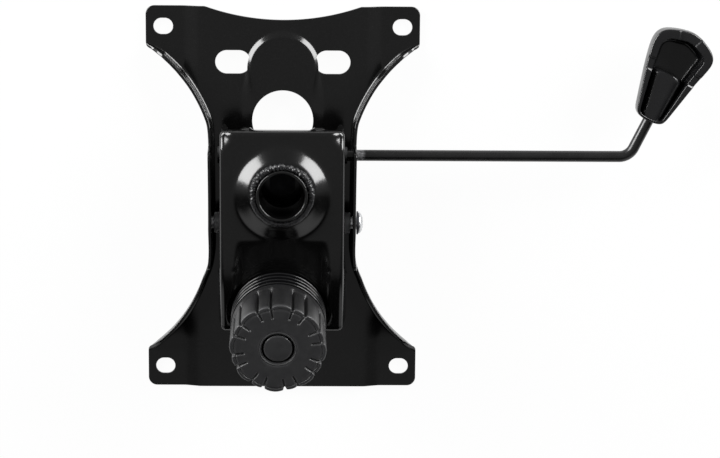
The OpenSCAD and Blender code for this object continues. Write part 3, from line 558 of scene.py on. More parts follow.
def worn_rod_and_painted_sheen(colours):
    """Powder coat on a round bar, rubbed through to grey steel where the rod works in the
    plate's slot, about 46 to 51 mm from the middle. The coat is drawn 2.5 times paler than the
    sheet's: a painted sheen."""
    def rubbed(tree, place, below):
        """Mottled band of bare steel, full up to 1.6 mm from its middle and gone at 3.6 mm."""
        along = add_node(tree, "ShaderNodeSeparateXYZ", {"Vector": place}).outputs["X"]
        far = add_node(tree, "ShaderNodeMath", {0: along, 1: 48.5 * MM}, operation="SUBTRACT")
        far = add_node(tree, "ShaderNodeMath", {0: far.outputs[0]}, operation="ABSOLUTE")
        bare = add_node(tree, "ShaderNodeMapRange",
                        {"Value": far.outputs[0], "From Min": 1.6 * MM, "From Max": 3.6 * MM,
                         "To Min": 1.0, "To Max": 0.0}).outputs["Result"]
        mottle = patches(tree, place, 1.3, 0.0, 1.0, 3)
        worn = add_node(tree, "ShaderNodeMath", {0: bare, 1: mottle}, operation="MULTIPLY")
        return worn.outputs[0], below, srgb("#8a8a8c")

    # Painted sheen: the sheet's coat made 2.5 times paler on the rod
    coat = times(rgba(colours.coat), 2.5)
    return make_finish("powder_coat_rod_worn_and_painted_sheen", (12, 3, coat, times(coat, 1.6)), (9, 0.24, 0.32, 3),
                       [(1.5, 0.02, 1.0)], rubbed, IOR=1.5)


def knob_plastic(colours):
    """Glass-filled nylon moulded in a spark-eroded mould: dark grey and matt, with a grain of
    about 0.6 mm, drawn coarser than the real grit so that it shows. The side below the face is
    painted darker than the face: painted shade."""
    plastic = rgba(colours.knob)
    axis = (0.0, -float(np.sin(SLOPE)), float(np.cos(SLOPE)))
    foot = float(np.dot([BOLT_X, BOLT_Y, BOLT_Z], axis))

    def painted_side_shade(tree, place, above):
        """Painted shade on the side: 0.28 of the colour up to 45.5 mm along the bolt, and the full
        colour on the face from 48.3 mm.
        """
        along = add_node(tree, "ShaderNodeVectorMath", {0: place, 1: axis},
                         operation="DOT_PRODUCT").outputs["Value"]
        face = add_node(tree, "ShaderNodeMapRange",
                        {"Value": along, "From Min": (foot + 45.5) * MM,
                         "From Max": (foot + 48.3) * MM}).outputs["Result"]
        return face, times(plastic, 0.28), above

    return make_finish("glass_filled_nylon_black", (9, 4, plastic, times(plastic, 1.25)),
                       (5, 0.34, 0.44, 3), [(0.6, 0.03, 2.0), (11, 0.06, 0.0)], painted_side_shade, IOR=1.5)


def grip_plastic(colours):
    """Polypropylene moulded against polished steel: glossy black with faint flow marks."""
    plastic = rgba(colours.grip)
    return make_finish("polypropylene_black", (18, 2, plastic, times(plastic, 1.5)),
                       (12, 0.2, 0.3, 3), [(7, 0.05, 0.0), (0.8, 0.004, 1.0)], IOR=1.49)


def soft_plastic(name, colour, rough, grain):
    """Moulded nylon or rubber: one colour with faint clouds, matt, and a fine moulded grain."""
    return make_finish(name, (5, 3, rgba(colour), times(rgba(colour), 1.3)),
                       (3, rough - 0.06, rough + 0.06, 2), [(grain, 0.02, 1.0)], IOR=1.5)


def zinc_plate(colours):
    """Steel plated with bright zinc: silver with grey clouds and peening marks of 2 mm."""
    zinc = rgba(colours.zinc)
    return make_finish("bright_zinc_plate", (3.5, 4, zinc, times(zinc, 0.65)),
                       (1.6, 0.18, 0.42, 3), [(2.0, 0.12, 2.0), (0.7, 0.02, 1.0)], Metallic=1.0)


def dark_steel(name, low, high, rough, grain):
    """Oiled or phosphated steel: dark, with clouds of oil and a fine grain."""
    return make_finish(name, (6, 4, srgb(low), srgb(high)), (4, rough - 0.07, rough + 0.09, 3),
                       [(grain, 0.02, 2.0)], Metallic=0.85)


# ---------------------------------------------------------------- seat plate
def plate_half_width(y, edge):
    """Half width of the plate along its length: a cubic between each pair of the side's points,
    whose slopes at a point are those across its two neighbours, less the ear's round corner
    as it runs inside the rounding of the sheet's edge."""
    knots, values = np.array(SIDE_Y), np.array(SIDE_X)
    slope = np.gradient(values, knots)
    i = np.clip(np.searchsorted(knots, y) - 1, 0, len(knots) - 2)
    span = knots[i + 1] - knots[i]
    width = cubic(np.clip((y - knots[i]) / span, 0, 1), values[i], values[i + 1],
                  span * slope[i], span * slope[i + 1])
    inner = EAR_CORNER - edge
    past = np.clip(np.abs(y) - (PLATE_HALF_Y - EAR_CORNER), 0, inner)
    return np.minimum(width, PLATE_HALF_X) - inner + np.sqrt(inner ** 2 - past ** 2)


def ear_share(x, y):
    """Share of the way from the web's level down to the ears': a ramp across the plate that
    runs out towards the waist."""
    ramp = np.clip((np.abs(x) - STEP_START) / (STEP_END - STEP_START), 0, 1)
    return ramp * smooth(np.abs(y), STEP_OUT, STEP_FULL)


def plate_level(x, y):
    """Upper face of the sheet: the web, the step down to the ears, and the arch, a ramp on the
    distance to a half disc with straight sides, gentler along the sides."""
    web = WEB_TOP - (WEB_TOP - EAR_TOP) * eased(ear_share(x, y), STEP_EASE)
    distance = np.where(y > ARCH_Y, np.hypot(x, y - ARCH_Y), np.abs(x)) - ARCH_R
    gentle = ARCH_GENTLE * (1 - smooth(y, ARCH_NARROWS, ARCH_Y))
    ramp = np.clip((ARCH_OUT + gentle - distance) / (ARCH_RAMP + 2 * gentle), 0, 1)
    start = smooth(y, ARCH_START, ARCH_START + 3)
    return web + ARCH_RISE * eased(ramp, ARCH_EASE) * start


def seat_plate_parts(bend, edge):
    """Sheet whose section runs from the left flange's edge down, through its bend, across the
    web and up the right flange. The bend is an arc about a centre that lies its radius inside
    the flange; where the lip is lower than the radius the arc stops early."""
    ear = PLATE_HALF_Y - EAR_CORNER
    knots = np.array([-ear, *ROW_ENDS, ear])
    end = ear + (EAR_CORNER - edge) * np.sin(np.linspace(0, np.pi / 2, 12))
    y = np.concatenate([-end[:0:-1], *(np.linspace(a, b, n, endpoint=False)
                                       for a, b, n in zip(knots, knots[1:], ROWS)), end])
    wide = plate_half_width(y, edge)
    flange_in, steepest, least_wall = 4, 1.7, 0.6
    seat = WEB_TOP - (WEB_TOP - EAR_TOP) * ear_share(wide - flange_in, y)
    lip = np.maximum(np.interp(y, EDGE_Y, EDGE_Z) - seat, 0)
    slant = np.clip(np.gradient(wide, y), -steepest, steepest)
    stretch = np.sqrt(1 + slant ** 2 * smooth(lip, 0, 1.5))
    turn = np.arccos(1 - np.minimum(lip, bend) / bend)
    rise = np.maximum(lip - bend - edge, least_wall)
    slack = least_wall * np.cos(turn)
    start = wide - (SHEET + bend) * stretch * np.sin(turn) - (edge + rise) * np.cos(turn) - slack
    # Inner columns stand still, closer together over the arch's ramp; the rest spread out to
    # the bend, and near an ear's end only the outer third draws in with the round corner
    still = np.concatenate([np.linspace(0, STILL_DENSE, 36),
                            np.linspace(STILL_DENSE, STILL_HALF, 7)[1:]])
    flat, arc, wall = (np.linspace(0, 1, count)[1:] for count in (25, 9, 8))
    full = np.where(np.abs(y) > ear, start[np.abs(y) <= ear][-1], start)
    curl = turn[:, None] * arc
    x = np.concatenate([np.tile(still, (len(y), 1)),
                        STILL_HALF + (full - STILL_HALF)[:, None] * flat
                        - (full - start)[:, None] * smooth(flat, 0.65, 1),
                        start[:, None] + bend * stretch[:, None] * np.sin(curl)
                        + slack[:, None] * arc], 1)
    x = np.concatenate([x, x[:, -1:] + (rise * np.cos(turn))[:, None] * wall], 1)
    lift = np.concatenate([np.zeros((len(y), len(still) + len(flat))),
                           bend * (1 - np.cos(curl))], 1)
    lift = np.concatenate([lift, lift[:, -1:] + (rise * np.sin(turn))[:, None] * wall], 1)
    x = np.concatenate([-x[:, :0:-1], x], 1)
    lift = np.concatenate([lift[:, :0:-1], lift], 1)
    scoop = np.maximum(np.sqrt(np.maximum(SCOOP_R ** 2 - x ** 2, 0)) - SCOOP_R + SCOOP_DEPTH, 0)
    along = y[:, None] - scoop * smooth(y, SCOOP_START, PLATE_HALF_Y)[:, None] ** 0.7
    ground = np.clip(np.abs(x), 0, np.abs(start[:, None]))
    points = np.stack([x, along, plate_level(ground, along) + lift], -1)
    return sheet_of(points, SHEET, edge)


def hole_levels(top, chamfer=0.22):
    """Levels of a cutter through the plate's sheet that leaves both edges of a hole rounded:
    each step is a height past the face and a share of the chamfer."""
    steps = ((1, 2), (0, 1), (-0.16, 0.35), (-0.45, 0))
    return [(top - SHEET - past, chamfer * share) for past, share in steps] \
        + [(top + past, chamfer * share) for past, share in steps[::-1]]


def seat_plate_cutters():
    """Four seat slots, two oblongs, the window, the axle's holes, the lever's curved slot on the
    right flange and its round hole on the left one."""
    long, wide, x, y = SEAT_SLOT
    cutters = [prism(oblong(long, wide, sx * x, sy * y), hole_levels(EAR_TOP))
               for sx in (-1, 1) for sy in (-1, 1)]
    long, wide, x, y = OBLONG
    cutters += [prism(oblong(long, wide, sx * x, y), hole_levels(WEB_TOP)) for sx in (-1, 1)]
    cutters.append(prism(oblong(*PLATE_WINDOW, 64),
                         [(2.0, 0), (7.15, 0), (7.44, 0.08), (7.6, 0.22), (8.6, 0.6)]))
    cutters += [drill(oblong(AXLE_HOLE, AXLE_HOLE), [(low, 0), (low + 4, 0)], PIVOT_Y, PIVOT_Z)
                for low in (-WAIST_HALF - 1, WAIST_HALF - 3)]
    reach = np.hypot(ROD_Y - PIVOT_Y, ROD_Z - PIVOT_Z)
    first = np.arctan2(ROD_Z - PIVOT_Z, ROD_Y - PIVOT_Y)
    last = first - TILT

    def swing(grow):
        """Outline round an arc about the tilt axis: outer arc, round end, inner arc, round end.
        Each is a centre's distance and angle, a radius and the angles it runs through."""
        half, t = SLOT_HALF + grow, np.linspace(0, 1, 16)
        rounds = ((0, 0, reach + half, first - TILT * t),
                  (reach, last, half, last - np.pi * t[1:-1]),
                  (0, 0, reach - half, first - TILT * (1 - t)),
                  (reach, first, half, first + np.pi - np.pi * t[1:-1]))
        return np.concatenate([polar(away, at) + polar(radius, angle)
                               for away, at, radius, angle in rounds])

    cutters.append(drill(swing, [(WAIST_HALF - 3, 0.9), (WAIST_HALF - SHEET, 0.4),
                                 (WAIST_HALF - SHEET + 0.4, 0), (WAIST_HALF - 0.4, 0),
                                 (WAIST_HALF, 0.4), (WAIST_HALF + 1, 0.9)], PIVOT_Y, PIVOT_Z))
    cutters.append(drill(oblong(ROD_HOLE, ROD_HOLE),
                         [(-WAIST_HALF - 1, 0.9), (-WAIST_HALF, 0.4), (-WAIST_HALF + 0.4, 0),
                          (-WAIST_HALF + 3, 0)], ROD_Y, ROD_Z))
    return cutters


class TILT_OT_seat_plate(bpy.types.Operator):
    """Build the seat plate: one stamping with ears, web, arch and side flanges"""
    bl_idname = "tilt.seat_plate"
    bl_label = "Seat plate"

    def execute(self, context):
        scene = context.scene
        bend, edge = scene.tilt_sizes.plate_bend / MM, scene.tilt_sizes.sheet_edge / MM
        piece("seat_plate_pressing", seat_plate_parts(bend, edge),
              powder_coat(scene.tilt_finishes), "seat_frame", ["seat_plate"],
              seat_plate_cutters())
        return {"FINISHED"}


# ---------------------------------------------------------------- housing
def housing_level(x, y):
    """Outer face of the housing: the flat face, rails that fall in front, the sloped recess
    between them with its round widening, the dome, a cone with a rounded foot and shoulder,
    rear corners that fall away, and two small dents."""
    fall = np.tan(SLOPE) * (SLOPE_Y - HOUSING_FRONT) / (RAIL_Y - HOUSING_FRONT)
    rails = HOUSING_TOP - fall * (soft_max(RAIL_Y - y, 0 * y, RAIL_KINK) - 0.1)
    rails = np.minimum(rails, HOUSING_TOP)
    slope = HOUSING_TOP - np.tan(SLOPE) * soft_max(SLOPE_Y - y, 0 * y, SLOPE_KINK)
    to_bolt = np.hypot(x - BOLT_X, y - BOLT_Y)
    sunk = np.maximum(smooth(RECESS_HALF - np.abs(x), *RECESS_EDGE),
                      smooth(RIB_R + 1.0 - to_bolt, *RECESS_ROUND))
    level = rails + (np.minimum(slope, rails) - rails) * sunk
    radius = np.hypot(x, y - COLUMN_Y)
    rise = soft_max((DOME_FOOT - radius) / (DOME_FOOT - DOME_COLLAR), 0 * x, DOME_KINK)
    level = level + DOME_RISE * (1 - soft_max(1 - rise, 0 * x, DOME_KINK))
    corner = np.hypot(np.abs(x) - FALL_X, y - FALL_Y)
    level = level - FALL_DEPTH * (1 - smooth(corner, FALL_NEAR, FALL_FAR))
    for dent_x in DENT_X:
        level = level - DENT_DEPTH * np.exp(-((x - dent_x) ** 2 + (y - DENT_Y) ** 2)
                                            / DENT_SPREAD)
    return level


def housing_parts(fillet, edge, lean):
    """Pan of sheet: rays run from the socket's circle to the rounded rectangle of the outline,
    then a quarter arc turns them down and straight walls end at the free edge. The rays' heights
    come from the face; the walls lean out towards the front foot."""
    quarter = np.linspace(0, np.pi / 2, 9)
    corners = [(sx * (HOUSING_HALF - r), y - r * np.sign(y), r, first) for sx, y, r, first in (
        (1, HOUSING_FRONT, FRONT_CORNER, -np.pi / 2), (1, HOUSING_REAR, HOUSING_CORNER, 0),
        (-1, HOUSING_REAR, HOUSING_CORNER, np.pi / 2), (-1, HOUSING_FRONT, FRONT_CORNER, np.pi))]
    core, facing = [], []
    for i, (*here, first) in enumerate(corners):
        t = np.linspace(0, 1, (LONG_RAYS, SHORT_RAYS)[i % 2])[1:-1, None]
        core += [np.repeat([here], len(quarter), 0),
                 np.array([here]) * (1 - t) + np.array([corners[(i + 1) % 4][:3]]) * t]
        facing += [first + quarter, np.full(len(t), first + np.pi / 2)]
    core, facing = np.concatenate(core), np.concatenate(facing)
    core, round_ = core[:, :2], core[:, 2]
    out = polar(1, facing)
    fillet = np.minimum(fillet, round_ - 0.2)
    rim = core + (round_ - fillet)[:, None] * out
    middle = np.array([[0, COLUMN_Y]])
    start = middle + (SOCKET_R + SOCKET_GAP + edge) * unit(rim - middle)
    t = np.concatenate([np.linspace(0, 0.24, 14, endpoint=False), np.linspace(0.24, 1, 58)])
    flat = start[None] * (1 - t[:, None, None]) + rim[None] * t[:, None, None]
    level = housing_level(flat[..., 0], flat[..., 1])
    face = np.concatenate([flat, level[..., None]], -1)
    top = level[-1]
    arc = np.linspace(0, np.pi / 2, 8)[1:, None]
    corner = np.concatenate([rim[None] + (fillet * np.sin(arc))[..., None] * out[None],
                             (top - fillet * (1 - np.cos(arc)))[..., None]], -1)
    foot = FOOT_FRONT + (FOOT_REAR - FOOT_FRONT) * np.clip(
        (core[:, 1] - PIVOT_Y) / (HOUSING_REAR - PIVOT_Y), 0, 1) + edge
    place = core + round_[:, None] * out
    t = np.linspace(0, 1, 16)[1:, None]
    height = (top - fillet) * (1 - t) + foot * t
    leaning = lean * smooth(-core[:, 1], 28, 48) * smooth(t, 0, 1)
    # Two tabs stand 1.1 mm proud of the lip at the rear
    tabs = 1.1 * smooth(core[:, 1], 45, 46.4) * smooth(t, 0.05, 0.25) * np.maximum(
        band(core[:, 0], 17.8, 26.8, 1.4), band(-core[:, 0], 18.2, 25.8, 1.4))
    # Lip along the rear edge, over the opening in the rear wall, drawn up from the full wall
    open_ = smooth(place[:, 1], 50.0, 51.0) * (1 - smooth(np.abs(place[:, 0]), *OPENING))
    height = height + (np.maximum(height, HOUSING_TOP - REAR_LIP + edge) - height) * open_
    wall = np.concatenate([place[None] + (leaning + tabs)[..., None] * out[None],
                           height[..., None]], -1)
    return sheet_of(np.concatenate([face, corner, wall]), HOUSING_SHEET, edge, True, -1)


class TILT_OT_housing(bpy.types.Operator):
    """Build the column housing: a pressed pan with a dome, side rails and a sloped recess"""
    bl_idname = "tilt.housing"
    bl_label = "Column housing"

    def execute(self, context):
        sizes = context.scene.tilt_sizes
        cutters = [drill(oblong(width, width), [(low, 0), (low + 12, 0)], y, z)
                   for width, y, z in ((AXLE_BORE, PIVOT_Y, PIVOT_Z), (ROD_BORE, ROD_Y, ROD_Z))
                   for low in (-45, 33)]
        # Slot for the tension bolt, turned to run down the slope from the bolt's axis
        long, wide = BOLT_SLOT
        points, faces = prism(oblong(long, wide), [(-6, 0), (4, 0)])
        down = points[..., 0] - (long - wide) / 2
        cutters.append((on_bolt(np.stack([-points[..., 1], down, points[..., 2]], -1)), faces))
        piece("housing_pan", housing_parts(sizes.housing_fillet / MM, sizes.sheet_edge / MM,
                                           sizes.wall_lean / MM),
              powder_coat(context.scene.tilt_finishes), "base", ["housing"],
              cutters)
        return {"FINISHED"}


class TILT_OT_socket(bpy.types.Operator):
    """Build the tapered socket tube with its rounded mouth, and the weld bead round it"""
    bl_idname = "tilt.socket"
    bl_label = "Column socket"

    def execute(self, context):
        colours, place = context.scene.tilt_finishes, np.array([0, COLUMN_Y, 0])
        taper_start = SOCKET_TOP - MOUTH
        taper_foot = BORE_R - (taper_start - SOCKET_END) * np.tan(TAPER)
        profile = rounded([(SOCKET_R, SOCKET_END, 0.6), (SOCKET_R, SOCKET_TOP, 0.7),
                           (BORE_R, SOCKET_TOP, 0.9), (BORE_R, taper_start, 0.5),
                           (taper_foot, SOCKET_END, 0.6)], 5)
        piece("column_socket_tube", [grid(turned(profile, 128, True) + place, True)],
              powder_coat(colours), "base", ["column_socket"])

        # Bead: an ellipse of half width and height about a circle. Ripples lean forward across
        # it, and slow waves change its width where the welder paused.
        half = context.scene.tilt_sizes.weld_width / MM
        turn = np.linspace(0, 2 * np.pi, 480, endpoint=False)[None]
        round_ = np.linspace(0, 2 * np.pi, 15)[:, None]
        rough = 0.05 + 0.95 * smooth(np.sin(turn - 0.1), -0.35, 0.3)
        ripple = sum(np.sin(n * turn + first + lean * np.cos(round_) + 2 * np.sin(k * turn))
                     for n, first, lean, k in RIPPLES)
        slow = np.sin(3 * turn + 0.6) + 0.6 * np.sin(7 * turn + 2) + 0.5 * np.sin(17 * turn)
        swell = 1 + (0.08 * slow + 0.075 * ripple) * rough
        radius = SOCKET_R + half - 0.1 + half * swell * np.cos(round_) + 0.12 * slow
        height = HOUSING_TOP + DOME_RISE - 0.3 + (2.2 * swell - 0.2) * np.sin(round_)
        piece("weld_bead_ring", [grid(polar(radius, turn, height) + place, True)],
              weld_metal(colours), "base", ["weld_bead"], sharp=60)
        return {"FINISHED"}


# ---------------------------------------------------------------- pivot
class TILT_OT_pivot(bpy.types.Operator):
    """Build the axle with its domed, peened head, and the collared bushes beside the housing"""
    bl_idname = "tilt.pivot"
    bl_label = "Pivot axle and bushes"

    def execute(self, context):
        colours = context.scene.tilt_finishes
        head = WAIST_HALF + HEAD_GAP
        side = head + HEAD_SIDE
        quarter = np.linspace(0, np.pi / 2, 12)[1:]
        dome = np.column_stack([HEAD_R * np.cos(quarter), side + HEAD_DOME * np.sin(quarter)])
        stem = rounded([(0, AXLE_END, 0), (AXLE_R, AXLE_END, 0.5), (AXLE_R, head, 0),
                        (HEAD_R, head, 0.3), (HEAD_R, side, 0)], 3)
        points = turned(np.concatenate([stem, dome]), 96)
        # Peening: shallow waves over the dome, strongest in its middle
        over = smooth(points[..., 2], head + 0.9, side + HEAD_DOME)
        points[..., 2] -= over * 0.35 * np.cos(1.7 * points[..., 0] + 1) * np.cos(
            1.9 * points[..., 1] - 0.5)
        piece("pivot_axle_turned", [grid(along_x(points, PIVOT_Y, PIVOT_Z), True)],
              zinc_plate(colours), "seat_frame", ["pivot_axle"], sharp=50)
        nylon = soft_plastic("nylon_grey", colours.nylon, 0.45, 0.7)
        profile = rounded([(BUSH_BORE, BUSH_START, 0.3), (BUSH_R, BUSH_START, 0.3),
                           (BUSH_R, COLLAR_START, 0), (COLLAR_R, COLLAR_START, 0.5),
                           (COLLAR_R, BUSH_END, 1.1), (BUSH_BORE, BUSH_END, 0.4)], 4)
        for sign, word in ((1, "right"), (-1, "left")):
            points = along_x(turned(profile, 64, True), PIVOT_Y, PIVOT_Z)
            points[..., 0] *= sign
            piece(f"pivot_bush_{word}_turned", [grid(points, True)], nylon, "base",
                  [f"pivot_bush_{word}"])
        return {"FINISHED"}


# ---------------------------------------------------------------- spring, sleeve and knob
def follow_bolt(made):
    """Bake the piece's transform into its mesh."""
    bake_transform(made)


class TILT_OT_spring(bpy.types.Operator):
    """Build the tension spring's helix and the ribbed sleeve round it"""
    bl_idname = "tilt.spring"
    bl_label = "Spring and sleeve"

    def execute(self, context):
        colours = context.scene.tilt_finishes
        # Spring and sleeve are made as lower and upper halves; the bodies and heights listed with
        # each half are not used
        below, above = ("base", "seat_frame"), ("seat_frame", "washer")
        steel = dark_steel("oiled_spring_steel", "#2e2f33", "#4b4c50", 0.34, 0.9)
        for word, first, bodies, heights in (("lower", 0, below, (SPRING_FOOT, 18.8)),
                                             ("upper", SPRING_TURNS / 2, above,
                                              (23.9, SPRING_HEAD))):
            turns = first + np.linspace(0, SPRING_TURNS / 2, SPRING_TURNS * 32 + 1)
            rise = np.interp(turns, [0, 1, SPRING_TURNS - 1, SPRING_TURNS],
                             [SPRING_FOOT, SPRING_FOOT + END_PITCH, SPRING_HEAD - END_PITCH,
                              SPRING_HEAD])
            angle = 2 * np.pi * turns
            wire = tube(polar(SPRING_R, angle, rise), polar(1, angle, 0), WIRE_R, 16)
            made = piece(f"tension_spring_{word}", [grid(on_bolt(capped(wire)), True)], steel,
                         None, ["tension_spring"] if word == "lower" else [])
            follow_bolt(made)
        # Sleeve: a thin tube whose outside carries a fin with a round nose at each pitch
        rubber = soft_plastic("rubber_black", colours.rubber, 0.18, 0.6)
        for word, foot, head, bodies, heights in (
                ("lower", SLEEVE_FOOT, SLEEVE_SPLIT - 0.02, below, (0.0, SLEEVE_SPLIT)),
                ("upper", SLEEVE_SPLIT + 0.02, SLEEVE_HEAD, above, (SLEEVE_SPLIT, 18.0))):
            height = np.linspace(foot, head, 181)
            near = np.abs((height - RIB_FOOT + RIB_PITCH / 2) % RIB_PITCH - RIB_PITCH / 2)
            near = np.where(height > RIB_FOOT + (RIBS - 0.5) * RIB_PITCH, 9, near)
            fin = (RIB_R - 0.05 - RIB_NOSE - SLEEVE_OUTER) * smooth(RIB_NOSE + 0.18 - near, 0, 0.2)
            out = SLEEVE_OUTER + fin + np.sqrt(np.clip(RIB_NOSE ** 2 - near ** 2, 0, None))
            inside = [(SLEEVE_INNER, h) for h in (head, (foot + head) / 2, foot)]
            profile = np.concatenate([np.column_stack([out, height]), inside])
            made = piece(f"ribbed_sleeve_{word}", [grid(on_bolt(turned(profile, 144, True)),
                                                        True)], rubber, None,
                         ["ribbed_sleeve"] if word == "lower" else [])
            follow_bolt(made)
        return {"FINISHED"}


def knob_parts(groove):
    """Knob turned from one closed profile of (radius, height, rounding). Round the side, each
    broad and narrow lobe is a flat parabola, and a narrow bell-shaped groove is sunk between
    them; share is how much of that a point of the profile takes. On the face the grooves run on
    inward and fade; notch is how much of them a point takes."""
    turn = np.linspace(0, 2 * np.pi, 720, endpoint=False)
    half = np.pi / LOBES
    off = np.abs((turn - LOBE_TURN + half) % (2 * half) - half)
    # Broad lobes stand 0.15 mm out and fall by 1.35 mm to their ends; narrow ones lie 0.55 mm in
    # and fall by 0.75 mm
    broad = KNOB_R + 0.15 - 1.35 * (off / LOBE_HALF) ** 2
    narrow = KNOB_R - 0.55 - 0.75 * ((half - off) / (half - LOBE_HALF)) ** 2
    cut = np.exp(-((off - LOBE_HALF) / np.radians(1.8)) ** 4)
    lobes = np.where(off < LOBE_HALF, broad, narrow) - groove * cut - KNOB_R
    rim = KNOB_TOP - 0.1
    side = rounded([(KNOB_R - 0.4, KNOB_FOOT, 0.5),
                    *((KNOB_R - 0.4 + 0.05 * i, 20.5 + i, 0.2) for i in range(6)),
                    (KNOB_R, KNOB_TOP - 0.15, 0.9), (KNOB_R - 2.2, rim, 0.5)], 5)
    # The face, with a shallow crease of 11.6 mm radius round the cap
    face = [(r, rim - 0.3 * smooth(r, 12.5, 11.6) * smooth(r, 11.2, 11.6))
            for r in (25.8, 25.0, 24.0, 23.0, 22.2, 21.6, 21.2, 20.9, 20.6, 20.3, 19.8, 18.0, 16.0,
                      14.0, 12.8, 12.3, 12.0, 11.7, 11.4, 11.1)]
    well = rounded([(CAP_R + 1.2, rim, 0.5), (CAP_R + 1.0, KNOB_TOP - 2.4, 0.5),
                    (CAP_R + 0.3, WELL_FLOOR, 0.2), (BOLT_HOLE_R, WELL_FLOOR, 0),
                    (BOLT_HOLE_R, NUT_TOP, 0), (NUT_R, NUT_TOP, 0), (NUT_R, NUT_FOOT, 0.2),
                    (HUB_R, NUT_FOOT, 0.4), (HUB_R, KNOB_ROOF, 0.3), (KNOB_INNER, KNOB_ROOF, 0.6),
                    (KNOB_INNER, KNOB_FOOT, 0.4)], 3)
    profile = np.concatenate([side, np.array(face), well])
    order = np.arange(len(profile))
    share = np.where(order < len(side), smooth(profile[:, 1], 20.5, 25.5), 0)
    notch = np.where(order < len(side) + len(face), 1, 0) * smooth(
        profile[:, 0], 20.2, 21.3) * smooth(profile[:, 1], 46.3, 47.8)
    points = polar(profile[:, :1] + share[:, None] * lobes, turn[None],
                   profile[:, 1:] - 0.85 * notch[:, None] * cut)
    return [grid(on_bolt(np.concatenate([points, points[:1]])), True)]


class TILT_OT_knob(bpy.types.Operator):
    """Build the tension knob with broad and narrow lobes, and the cap in its face"""
    bl_idname = "tilt.knob"
    bl_label = "Tension knob"

    def execute(self, context):
        scene = context.scene
        plastic = knob_plastic(scene.tilt_finishes)
        piece("knob_moulded", knob_parts(scene.tilt_sizes.knob_groove / MM), plastic, "knob",
              ["knob"], sharp=48)
        profile = rounded([(0, 44.25, 0), (CAP_R, 44.25, 0.3), (CAP_R, 48.4, 1.3),
                           (0, 48.7, 0)], 4)
        piece("knob_cap_moulded", [grid(on_bolt(turned(profile, 96)), True)], plastic, "knob",
              ["knob_cap"])
        return {"FINISHED"}


# ---------------------------------------------------------------- lever
def on_arm(points):
    """Points along the arm, to its left and up, turned by the arm's angle about the corner."""
    c, s = np.cos(ARM), np.sin(ARM)
    return np.stack([CORNER_X + c * points[..., 0] - s * points[..., 1],
                     ROD_Y + s * points[..., 0] + c * points[..., 1], points[..., 2]], -1)


def rod_parts():
    """Bent bar: straight along X, an arc about a centre its bend radius to the rear, and the
    arm; both ends close over a small round."""
    tangent = BEND_R * np.tan(ARM / 2)
    line = np.linspace(ROD_LEFT + ROD_ROUND, CORNER_X - tangent, 120, endpoint=False)
    swing = np.linspace(0, ARM, 28, endpoint=False)
    arm = np.linspace(tangent, ARM_END, 18)
    x = np.concatenate([line, CORNER_X - tangent + BEND_R * np.sin(swing),
                        CORNER_X + arm * np.cos(ARM)])
    y = np.concatenate([0 * line, BEND_R * (1 - np.cos(swing)), arm * np.sin(ARM)]) + ROD_Y
    quarter = np.linspace(0, np.pi / 2, 6)[::-1]
    radius = np.concatenate([[0], ROD_R - ROD_ROUND * (1 - np.cos(quarter)),
                             np.full(len(x), ROD_R), [0]])
    x = np.concatenate([[ROD_LEFT - 1e-4], ROD_LEFT + ROD_ROUND * (1 - np.sin(quarter)), x,
                        [x[-1] + 0.01 * np.cos(ARM)]])
    y = np.concatenate([np.full(7, ROD_Y), y, [y[-1] + 0.01 * np.sin(ARM)]])
    path = np.stack([x, y, np.full(len(x), ROD_Z)], -1)
    side = np.tile([[0.0, 0.0, 1.0]], (len(x), 1))
    return [grid(tube(path, side, radius, 40), True)]


def grip_outline(count=18):
    """Closed curve through the outline's points: a cubic between each pair whose slopes are
    half the difference of the neighbours."""
    knots = np.array(GRIP_OUTLINE)
    before, after, beyond = (np.roll(knots, shift, 0) for shift in (1, -1, -2))
    t = np.linspace(0, 1, count, endpoint=False)[None, :, None]
    return cubic(t, knots[:, None], after[:, None], (after - before)[:, None] / 2,
                 (beyond - knots)[:, None] / 2).reshape(-1, 2)


